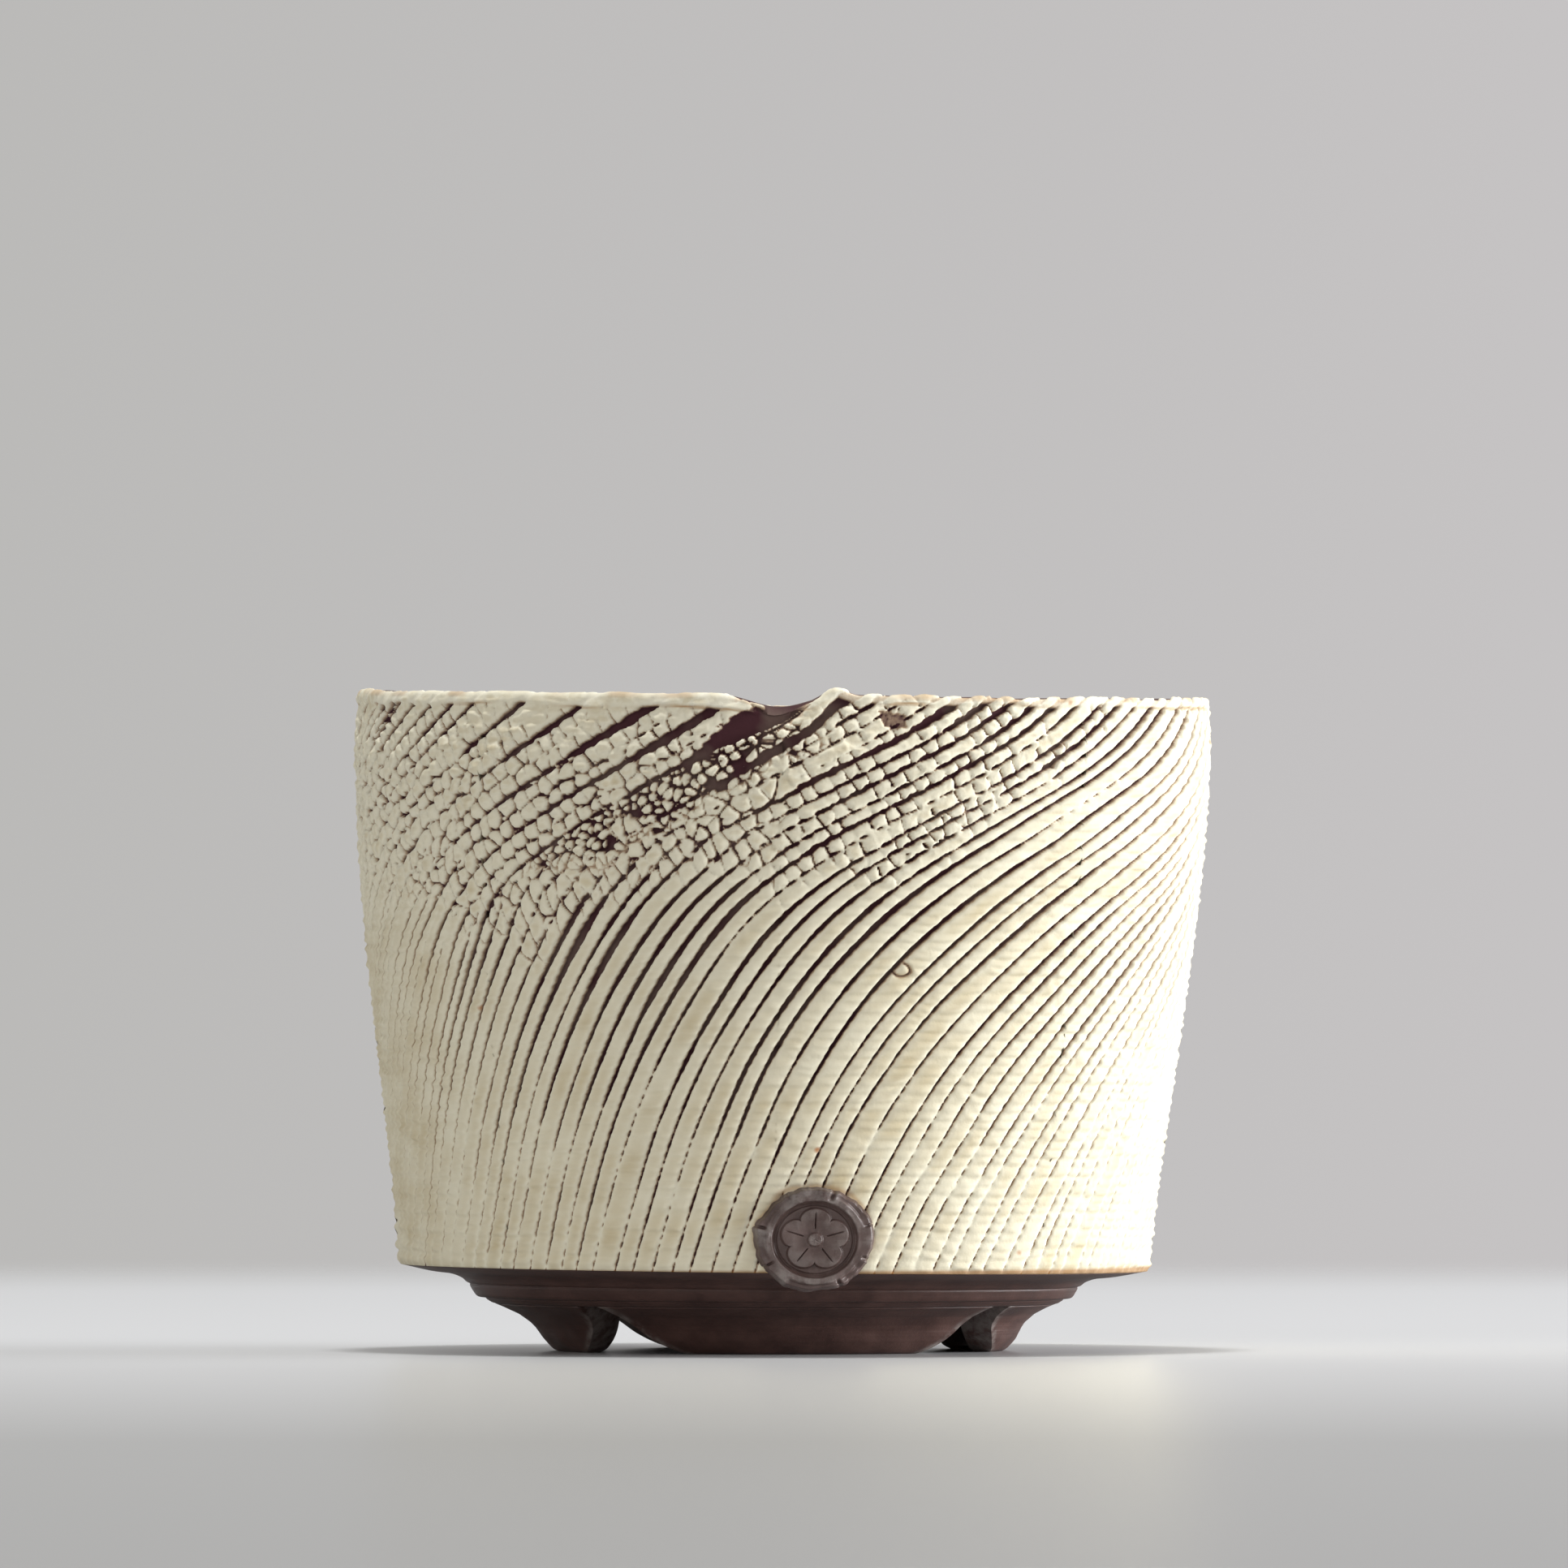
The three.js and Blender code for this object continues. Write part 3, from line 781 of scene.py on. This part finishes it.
def new_material(name, roughness, specular):
    material = bpy.data.materials.new(name)
    material.use_nodes = True
    t = Tree(material.node_tree)
    shader = material.node_tree.nodes["Principled BSDF"]
    shader.inputs["Roughness"].default_value = roughness
    shader.inputs["Specular IOR Level"].default_value = specular
    place = t.node("ShaderNodeTexCoord")
    in_mm = t.node("ShaderNodeMapping", {"Vector": place.outputs["Object"], "Scale": (1 / MM,) * 3})
    return material, t, shader, in_mm


def ramp(t, value, *stops):
    """Colour by value. Each stop is a place and a colour."""
    made = t.node("ShaderNodeValToRGB", {0: value})
    elements = made.color_ramp.elements
    while len(elements) < len(stops):
        elements.new(0.5)
    for element, (at, colour) in zip(elements, stops):
        element.position = at
        element.color = (*colour, 1)
    return made.outputs[0]


def mix(t, share, a, b):
    """Colour a where share is 0 and b where it is 1. The node's inputs 6 and 7 take the two colours."""
    made = t.node("ShaderNodeMix", {0: share}, data_type="RGBA")
    for socket, colour in ((6, a), (7, b)):
        t.feed(made.inputs[socket], (*colour, 1) if isinstance(colour, tuple) else colour)
    return made.outputs[2]


def noise(t, where, scale, detail=2.0, rough=0.5):
    return t.node("ShaderNodeTexNoise", {"Vector": where, "Scale": scale, "Detail": detail,
                                         "Roughness": rough}).outputs[0]


def stretched(t, where, x, y, z):
    return t.node("ShaderNodeMapping", {"Vector": where, "Scale": (x, y, z)})


def bumped(t, shader, height, strength, distance):
    made = t.node("ShaderNodeBump", {"Height": height, "Strength": strength, "Distance": distance * MM})
    t.feed(shader.inputs["Normal"], made.outputs[0])


def slip_finish():
    """Cream slip: tan on worn crowns, a painted highlight of paler, cooler white beside the torn edges, rusty
    at its edges, dark clay where it is gone.
    """
    material, t, shader, in_mm = new_material("cream slip", 0.72, 0.3)
    bare, crown, painted_edge_highlight, rusty = (t.kept(name) for name in ("bare", "crown", "painted_edge_highlight", "rust"))
    white = (0.69, 0.645, 0.5)
    tan = (0.52, 0.435, 0.27)
    bands = noise(t, stretched(t, in_mm, 0.09, 0.09, 0.22), 1.0, 3)
    patches = noise(t, in_mm, 0.14, 3)
    worn = t.times(crown, t.times(bands, patches))
    colour = mix(t, t.ranged(worn, 0.08, 0.36, 0.0, 0.85), white, tan)
    # Painted highlight beside the torn edges: a paler, cooler white mixed into the slip.
    colour = mix(t, t.times(painted_edge_highlight, 0.35), colour, (0.72, 0.7, 0.62))
    speck = t.node("ShaderNodeTexVoronoi", {"Vector": in_mm, "Scale": 0.17})
    speck_pick = t.node("ShaderNodeSeparateColor", {0: speck.outputs["Color"]})
    chosen = t.math("GREATER_THAN", speck_pick.outputs[0], 0.72)
    specks = t.times(t.ranged(speck.outputs["Distance"], 0.09, 0.03), t.times(chosen, 0.85))
    colour = mix(t, specks, colour, (0.42, 0.16, 0.045))
    colour = mix(t, rusty, colour, (0.34, 0.18, 0.06))
    fine = noise(t, in_mm, 2.6, 2)
    torn = t.math("ADD", bare, t.times(t.math("SUBTRACT", fine, 0.5), 0.25))
    colour = mix(t, t.times(t.ranged(torn, 0.12, 0.42), 0.7), colour, (0.34, 0.185, 0.08))
    deep = t.ranged(torn, 0.36, 0.72)
    clay = mix(t, t.ranged(patches, 0.45, 0.6), (0.06, 0.022, 0.027), (0.115, 0.075, 0.064))
    colour = mix(t, deep, colour, clay)
    height = t.node("ShaderNodeSeparateXYZ", {0: in_mm}).outputs["Z"]
    burnt = t.times(t.ranged(height, HEEL_Z + 0.45, HEEL_Z + 0.05), 0.8)
    t.feed(shader.inputs["Base Color"], mix(t, burnt, colour, (0.3, 0.14, 0.04)))
    t.feed(shader.inputs["Specular IOR Level"], t.ranged(deep, 0.0, 1.0, 0.3, 0.08))
    pores = t.math("ADD", noise(t, in_mm, 3.2, 3, 0.6), t.times(noise(t, in_mm, 0.9), 1.5))
    bumped(t, shader, pores, 0.35, 0.12)
    return material


def clay_finish(name, colour, light, rough, tooled=1.0, dust_and_highlight=0.0):
    """Fired brown clay: uneven, with tool lines round the pot, and pale patches where the kept cut share
    lies: real dust on the feet's cut faces, and a painted highlight on the seal's raised parts.
    """
    material, t, shader, in_mm = new_material(name, rough, 0.42)
    clouds = noise(t, in_mm, 0.22, 4, 0.6)
    fine = noise(t, in_mm, 2.4, 3, 0.6)
    tone = mix(t, t.ranged(clouds, 0.35, 0.7), colour, light)
    tone = mix(t, t.times(t.math("GREATER_THAN", fine, 0.63), 0.35), tone, light)
    if dust_and_highlight:
        # Pale patches: real dust on the feet's cut faces. On the seal they are a painted highlight on its
        # raised parts.
        share = t.times(t.kept("cut"), t.ranged(noise(t, in_mm, 0.5, 4, 0.7), 0.38, 0.6))
        tone = mix(t, t.times(share, dust_and_highlight), tone, (0.2, 0.17, 0.155))
    t.feed(shader.inputs["Base Color"], tone)
    t.feed(shader.inputs["Roughness"], t.ranged(clouds, 0.0, 1.0, rough - 0.1, rough + 0.14))
    lines = noise(t, stretched(t, in_mm, 0.03, 0.03, 2.2), 1.0, 3, 0.6)
    height = t.math("ADD", t.times(lines, 1.2 * tooled), t.times(fine, 0.6))
    bumped(t, shader, height, 0.5, 0.1)
    return material


# ---------------------------------------------------------------- the clay body

def turned(name, section, material, columns, uneven=0.0, lift=None):
    """A closed section of (radius, height) turned round the pot, up the outside and down the inside."""
    section = np.array(section, float)
    angle = np.arange(columns) * 360 / columns
    radius, height = section[:, :1], section[:, 1:]
    if uneven:
        u = angle * DEG * LAY_R
        radius = radius + uneven * (grain(u, 3 * height, (24, 6), 61) + 0.5 * grain(u, 9 * height, 9, 62))
    if lift is not None:
        height = height + lift(angle, height)
    points = ring_point(radius, angle, height)
    return mesh_object(name, points, grid_faces(len(section), columns, True, True), [material])


def curve_through(*points, steps=8):
    """A smooth line through points, as a Catmull-Rom spline."""
    p = np.array(points, float)
    p = np.vstack([2 * p[0] - p[1], p, 2 * p[-1] - p[-2]])
    line = []
    for i in range(1, len(p) - 2):
        for t in np.linspace(0, 1, steps, endpoint=False):
            line.append(0.5 * (2 * p[i] + (p[i + 1] - p[i - 1]) * t
                               + (2 * p[i - 1] - 5 * p[i] + 4 * p[i + 1] - p[i + 2]) * t**2
                               + (3 * p[i] - p[i - 1] - 3 * p[i + 1] + p[i + 2]) * t**3))
    line.append(p[-2])
    return [tuple(x) for x in line]


FINGER_STEP = 5.2  # of the finger rings inside the wall
SPIRAL_STEP = 4.1  # of the rings on the floor
HOLLOW_R = 26.2  # under the floor, inside the feet
COLLAR_LIP_R = 36.8


def clay_wall(material):
    """The thrown wall, with finger rings inside and a rounded mouth."""
    z = np.linspace(HEEL_Z + 0.02, RIM_Z - 1.0, 90)
    outside = [(r - SLIP_T - BOND, h) for r, h in zip(flank(z), z)]
    mouth_out = outside[-1][0]
    mouth_in = flank(np.array([RIM_Z - 1]))[0] - SLIP_T - BOND - WALL_T
    mouth = curve_through((mouth_out - 0.2, RIM_Z - 0.35), (mouth_out - 1.4, RIM_Z - 0.1),
                          (mouth_in + 1.2, RIM_Z - 0.35), (mouth_in + 0.3, RIM_Z - 1.1))
    rings = 0.28 * np.sin((z - FLOOR_TOP) / FINGER_STEP * 2 * math.pi)
    rings = rings * smooth(z, FLOOR_TOP + 1, FLOOR_TOP + 5)
    rings = rings * (1 - smooth(z, RIM_Z - 5, RIM_Z - 1))
    inside = [(r - SLIP_T - BOND - WALL_T + ring, h) for r, h, ring in zip(flank(z), z, rings)][::-1]

    def lift(angle, height):
        return np.clip((height - SHOULDER_Z) / (RIM_Z - SHOULDER_Z), 0, 1) * rim_lift(angle)

    return turned("clay_wall", outside + mouth + inside[2:], material, 360, lift=lift)


def clay_floor(material):
    """The floor, with a rounded drain hole and the rings that a finger leaves."""
    rim_r = float(FLOOR_HIGH[0])
    low = float(FLOOR_LOW[2]) + 0.02
    radii = np.linspace(rim_r, DRAIN_R + 0.8, 60)
    top = [(r, FLOOR_TOP + 0.22 * math.sin((r - DRAIN_R) / SPIRAL_STEP * 2 * math.pi) - 0.25) for r in radii]
    hole = curve_through((DRAIN_R + 0.25, FLOOR_TOP - 0.45), (DRAIN_R, FLOOR_TOP - 1.2), (DRAIN_R, low + 0.8),
                         (DRAIN_R + 0.5, low + 0.1), steps=4)
    return turned("clay_floor", [(rim_r, low)] + top + hole + [(DRAIN_R + 1.2, low)], material, 360)


def turned_collar(material):
    """The collar under the wall: a narrow step, a lip with a soft edge, and a cove up to the slip."""
    step_z = FOOT_TOP + 0.7
    section = [(HOLLOW_R, FOOT_TOP + 0.02), (33.9, FOOT_TOP + 0.02)]
    section += curve_through(
        (34.35, FOOT_TOP + 0.15), (34.9, FOOT_TOP + 0.5), (35.1, step_z), (35.75, step_z + 0.06),
        (36.15, step_z + 0.25), (36.5, step_z + 0.75), (COLLAR_LIP_R, step_z + 1.3),
        (COLLAR_LIP_R + 0.02, step_z + 1.55), (COLLAR_LIP_R + 0.45, step_z + 1.75), (37.9, step_z + 2.25),
        (39.3, step_z + 2.7), (41.7, HEEL_Z - 0.72), (HEEL_R - 0.55, HEEL_Z - 0.04), steps=6)
    section += [(40.2, HEEL_Z - 0.02), (26.5, HEEL_Z - 0.02)]
    section += curve_through((HOLLOW_R, HEEL_Z - 0.3), (25.95, HEEL_Z - 2), (26.0, FOOT_TOP + 0.4), steps=4)
    return turned("turned_collar", section, material, 540, uneven=0.05)


# Openings between the feet: the angle of the middle, and half the width at the ground.
ARCHES = ((54, 7.7), (142, 8.0), (227, 8.0), (318, 8.2))
FEET = ("foot_right", "foot_back", "foot_left", "foot_front")
FOOT_EDGE = 0.28  # how far a cut edge is rounded


def arch_half(height, half):
    """Half the width of an opening at a height: a bell, wide at the ground and narrow under the collar."""
    t = np.linspace(0, 1, 60)
    x = (1 - t) ** 3 * half + 3 * (1 - t) ** 2 * t * 0.45 * half + 3 * (1 - t) * t**2 * 0.35 * half
    x = x + t**3 * 1.6
    z = 3 * (1 - t) ** 2 * t * 0.3 * FOOT_TOP + 3 * (1 - t) * t**2 * 0.75 * FOOT_TOP + t**3 * FOOT_TOP
    return np.interp(height, z, x)


def cut_foot(name, before, after, material, seed):
    """One foot: a flared block between two openings, with soft edges and a knife's marks on its cut sides."""
    rows, columns, layers = 34, 120, 18
    v = np.linspace(0, 1, rows) ** 0.9
    height = v * FOOT_TOP
    outer = np.interp(height, (0, 0.3, 0.9, 1.7, 2.85, 3.5, 4.45, 5.3, FOOT_TOP),
                      (26.9, 27.5, 28.1, 28.75, 29.45, 30.0, 31.2, 32.9, 33.9))
    inner = np.interp(height, (0, 0.4, 3.0, 5.0, FOOT_TOP), (24.8, 24.35, 25.1, 25.7, 26.05))
    angle_before, half_before = before
    angle_after, half_after = after
    if angle_after < angle_before:
        angle_after += 360

    # A block of points: up, round, and from the inside out. Its six faces are the foot.
    i, j, k = np.meshgrid(np.arange(rows), np.arange(columns), np.arange(layers), indexing="ij")
    radius = inner[i] + (outer[i] - inner[i]) * k / (layers - 1)
    start = angle_before + np.arcsin(np.clip(arch_half(height[i], half_before) / radius, 0, 1)) / DEG
    end = angle_after - np.arcsin(np.clip(arch_half(height[i], half_after) / radius, 0, 1)) / DEG
    share = j / (columns - 1)
    share = share + 0.04 * np.sin(2 * math.pi * share) / (2 * math.pi)
    angle = start + (end - start) * share
    wobble = 0.1 * grain(angle * DEG * LAY_R, 3 * height[i], (5, 4), seed)
    block = ring_point(radius + wobble * (k > 0), angle, height[i])
    sides = ((block[:, :, -1], False), (block[:, :, 0], True), (block[:, 0], False), (block[:, -1], True),
             (block[0], True), (block[-1], False))
    verts, faces, count = [], [], 0
    for side, flip in sides:
        quads = grid_faces(*side.shape[:2])
        verts.append(side.reshape(-1, 3))
        faces.append((quads[:, ::-1] if flip else quads) + count)
        count += len(verts[-1])
    foot = mesh_object(name, np.concatenate(verts), np.concatenate(faces), [material])
    work = open_mesh(foot)
    bmesh.ops.remove_doubles(work, verts=work.verts, dist=0.01 * MM)
    bmesh.ops.recalc_face_normals(work, faces=work.faces)
    sharp = [e for e in work.edges if len(e.link_faces) == 2 and e.calc_face_angle() > 40 * DEG]
    top = FOOT_TOP * MM - 0.0002
    sharp = [e for e in sharp if not all(p.co.z > top for p in e.verts)]  # the top meets the collar
    bmesh.ops.bevel(work, geom=sharp, offset=FOOT_EDGE * MM, segments=3, profile=0.5, affect="EDGES",
                    clamp_overlap=True)
    close_mesh(work, foot, rounded=True)
    co = np.array([vert.co for vert in foot.data.vertices]) / MM
    angle = np.arctan2(co[:, 0], -co[:, 1]) / DEG
    radius = np.hypot(co[:, 0], co[:, 1])
    away = [np.abs(turn_between(angle, at)) * DEG * radius - arch_half(co[:, 2], half)
            for at, half in (before, after)]
    keep_values(foot, "cut", 1 - smooth(np.minimum(*away), 0.5, 1.6))
    return foot


# ---------------------------------------------------------------- the seal

SEAL_FACE = 2.3  # how far its border stands out
# Splits in the border: the turn they are at, how far in they reach, and half their width.
SPLITS = ((2.9, 1.2, 0.3), (3.7, 1.5, 0.3), (1.25, 1.7, 0.45), (0.3, 0.9, 0.2), (5.2, 1.2, 0.3),
          (5.9, 1.0, 0.35), (2.1, 1.0, 0.18))


def pressed_seal(material):
    """A disc of clay pressed on with a stamp: a raised border round a five-petalled flower."""
    rings, spokes = 110, 360
    share = np.linspace(0, 1, rings)[:, None]
    turn = np.arange(spokes)[None, :] * 2 * math.pi / spokes
    u = turn * LAY_R
    bulge = 0.07 * bump(turn - 2.95, 0.33)
    edge = 0.985 + bulge + 0.02 * np.sin(2 * turn + 0.6) + 0.03 * grain(u, 0, 24, 71)
    edge = edge + 0.018 * grain(u, 0, 7, 72) + 0.007 * grain(u, 0, 2.5, 76)
    x = 0.5 * SEAL_W * share * edge * np.cos(turn)
    y = 0.5 * SEAL_H * share * edge * np.sin(turn)
    r = np.hypot(x, y * SEAL_W / SEAL_H)
    petals = 3.1 + 1.15 * np.abs(np.cos(2.5 * (turn - 0.5 * math.pi))) ** 0.6
    flower = 0.6 * smooth(r, petals + 0.15, petals - 0.2) * (1 - 0.5 * smooth(r, 3.0, 0.9))
    vein = 0.35 * bump(np.sin(2.5 * (turn - 0.5 * math.pi)) * r, 0.32)
    vein = vein * smooth(r, 1.3, 1.7) * smooth(r, 3.9, 3.2)
    heart = 0.5 * smooth(r, 1.05, 0.75)
    moat = 0.25 * bump(r - 4.7, 0.25)
    border = (0.75 + 0.3 * grain(u, 0, 26, 77)) * smooth(r, 4.95, 5.3)
    border = border - 0.55 * smooth(r, 5.9, 6.3) * smooth(grain(u, 0, 18, 78), -0.3, 0.4)
    folds = 0.3 * grain(u, r * 2, (9, 3), 73) * smooth(r, 5.2, 5.8)
    height = SEAL_FACE - 1.0 + flower - vein + heart - moat + border + folds
    height = height + 0.06 * grain(u * 0.3, 4 * r, 5, 74)
    for at, reach, width in SPLITS:
        off = np.abs((turn - at + math.pi) % (2 * math.pi) - math.pi) * r + 0.1 * grain(u, 3 * r, 4, 75)
        split = smooth(off, width, 0.0) * smooth(r, 7.0 - reach, 7.3 - 0.6 * reach)
        height = height - 0.9 * split
    # Painted highlight: the seal's raised parts are marked here, and its finish paints them pale as if they
    # caught the light.
    worn = smooth(height, SEAL_FACE - 0.65, SEAL_FACE - 0.1)
    height = height - 1.1 * smooth(share, 0.93, 1.0) ** 2 * SEAL_FACE / 2

    middle_z = HEEL_Z + SEAL_RISE
    wall_r = flank(middle_z + y)
    dip = wall_r - np.sqrt(np.maximum(wall_r**2 - x**2, 1))
    lying = float(flank(np.array([middle_z]))[0])
    slope = (flank(middle_z + y) - lying) * smooth(y, -7, -1)
    front = -(lying + slope + 0.85 * height - dip * 0.85)
    back = -(lying + slope - dip - 1.1)

    def placed(x, depth, y):
        x, depth, y = np.broadcast_arrays(x, depth, y)
        c, s = math.cos(SEAL_ANGLE * DEG), math.sin(SEAL_ANGLE * DEG)
        return leaned(np.stack([x * c - depth * s, x * s + depth * c, middle_z + y], -1))

    top = placed(x, front, y)[1:]
    side_share = np.linspace(0.2, 1, 8)[:, None]
    swell = 1 + 0.012 * np.sin(side_share * math.pi)
    side = placed(x[-1] * swell, front[-1] + (back[-1] - front[-1]) * side_share, y[-1] * swell)
    bottom = placed(x[::-12][1:-1], back[::-12][1:-1], y[::-12][1:-1])
    rows = np.concatenate([top, side, bottom])
    poles = [placed(x[0, :1], face[0, :1], y[0, :1]) for face in (front, back)]
    verts = np.concatenate([rows.reshape(-1, 3), *poles])
    seal = mesh_object("pressed_seal", verts, grid_faces(len(rows), spokes, False, True), [material])
    work = open_mesh(seal)
    first, last = len(verts) - 2, len(verts) - 1
    tail = (len(rows) - 1) * spokes
    for i in range(spokes):
        j = (i + 1) % spokes
        work.faces.new([work.verts[first], work.verts[j], work.verts[i]])
        work.faces.new([work.verts[last], work.verts[tail + i], work.verts[tail + j]])
    bmesh.ops.recalc_face_normals(work, faces=work.faces)
    close_mesh(work, seal, rounded=True)
    # Kept under the name cut: the share of the seal's raised parts that gets the painted highlight.
    keep_values(seal, "cut", np.pad(worn[1:].ravel(), (0, len(verts) - worn[1:].size)))
    return seal


# ---------------------------------------------------------------- studio

CAMERA_AWAY = 4900
CAMERA_HEIGHT = 85.9  # above the table, just over the rim
SENSOR_WIDTH = 36
VIEW_WIDTH = 190.1  # at the pot
LOOK_AT = (0.49, 0, 68.7)


def camera():
    data = bpy.data.cameras.new("camera")
    data.sensor_width = SENSOR_WIDTH
    data.lens = SENSOR_WIDTH * CAMERA_AWAY / VIEW_WIDTH
    data.clip_start = 0.1
    data.clip_end = 100
    eye = bpy.data.objects.new("camera", data)
    bpy.context.scene.collection.objects.link(eye)
    tilt = math.atan2(CAMERA_HEIGHT - LOOK_AT[2], CAMERA_AWAY)
    eye.location = (LOOK_AT[0] * MM, -CAMERA_AWAY * MM, CAMERA_HEIGHT * MM)
    eye.rotation_euler = (0.5 * math.pi - tilt, 0.0, 0.0)
    bpy.context.scene.camera = eye


def studio_floor():
    """A pale, faintly glossy table that fades out at its far edge. Its colour carries painted light: darker
    towards the camera and brighter towards the back.
    """
    half_x, near, far = 1600, 1600, 760
    corners = [(-half_x, -near, 0), (half_x, -near, 0), (half_x, far, 0), (-half_x, far, 0)]
    material, t, shader, in_mm = new_material("pale table", 0.3, 0.4)
    away = t.node("ShaderNodeSeparateXYZ", {0: in_mm}).outputs["Y"]
    # Painted light: the table's colour rises from dark near the camera to bright at the back, standing in for
    # how the light falls on it.
    painted_light_tones = ramp(t, t.ranged(away, -1100.0, 250.0), (0.0, (0.27, 0.27, 0.264)), (0.4, (0.27, 0.27, 0.264)),
                 (0.72, (0.43, 0.43, 0.43)), (0.85, (0.52, 0.525, 0.53)))
    t.feed(shader.inputs["Base Color"], painted_light_tones)
    t.feed(shader.inputs["Alpha"], t.ranged(away, 420.0, 740.0, 1.0, 0.0, interpolation_type="SMOOTHSTEP"))
    floor = mesh_object("studio_floor", corners, [[0, 1, 2, 3]], [material], False)


def soft_light(name, place, size, power, colour):
    data = bpy.data.lights.new(name, "AREA")
    data.shape = "RECTANGLE"
    data.size, data.size_y = size
    data.energy = power
    data.color = colour
    light = bpy.data.objects.new(name, data)
    bpy.context.scene.collection.objects.link(light)
    light.location = place
    aim = -light.location
    aim.z += 0.04
    light.rotation_euler = aim.to_track_quat("-Z", "Y").to_euler()


def studio_light():
    """A grey room, a little lighter on the right, a low key light from the right, and two weaker ones."""
    world = bpy.data.worlds.new("studio")
    bpy.context.scene.world = world
    world.use_nodes = True
    t = Tree(world.node_tree)
    back = world.node_tree.nodes["Background"]
    where = t.node("ShaderNodeTexCoord").outputs["Generated"]
    across = t.node("ShaderNodeSeparateXYZ", {0: where}).outputs["X"]
    share = t.ranged(across, -0.025, 0.025)
    t.feed(back.inputs["Color"], mix(t, share, (0.487, 0.482, 0.471), (0.57, 0.553, 0.557)))
    back.inputs["Strength"].default_value = 1.0
    soft_light("key", (1.9, 0.1, 0.34), (2.0, 0.62), 77, (0.95, 0.975, 1.0))
    soft_light("top", (-0.02, -0.06, 1.9), (0.16, 0.16), 28, (0.97, 0.985, 1.0))
    soft_light("fill", (-0.9, -1.6, 0.6), (1.4, 1.2), 7, (1.0, 0.995, 0.985))


# ---------------------------------------------------------------- assembly

def main():
    slip = slip_finish()
    brown, light_brown = (0.044, 0.018, 0.0135), (0.088, 0.042, 0.033)
    grey, light_grey = (0.064, 0.038, 0.032), (0.125, 0.084, 0.075)
    body = clay_finish("dark clay", brown, light_brown, 0.48)
    cut = clay_finish("cut dark clay", brown, light_brown, 0.48, dust_and_highlight=0.8)
    # On the seal the pale patches are a painted highlight on its raised parts.
    stamped = clay_finish("stamped clay", grey, light_grey, 0.42, tooled=0.3, dust_and_highlight=0.85)

    for coat in coat_pieces(coat_tree(), slip):
        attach(coat, "root")
        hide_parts("slip_coat")

    stands_for = [(clay_wall(body), "pot_wall"), (clay_floor(body), "floor_disc"),
                  (turned_collar(body), "foot_collar")]
    for i, name in enumerate(FEET):
        foot = cut_foot(name + "_cut", ARCHES[i], ARCHES[(i + 1) % 4], cut, 80 + i)
        stands_for.append((foot, name))
    for piece, node in stands_for:
        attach(piece, "root")
        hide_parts(node)
    seal = pressed_seal(stamped)
    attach(seal, "root")
    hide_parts("maker_seal")

    camera()
    studio_floor()
    studio_light()
    bpy.context.scene.view_settings.view_transform = "Standard"


main()
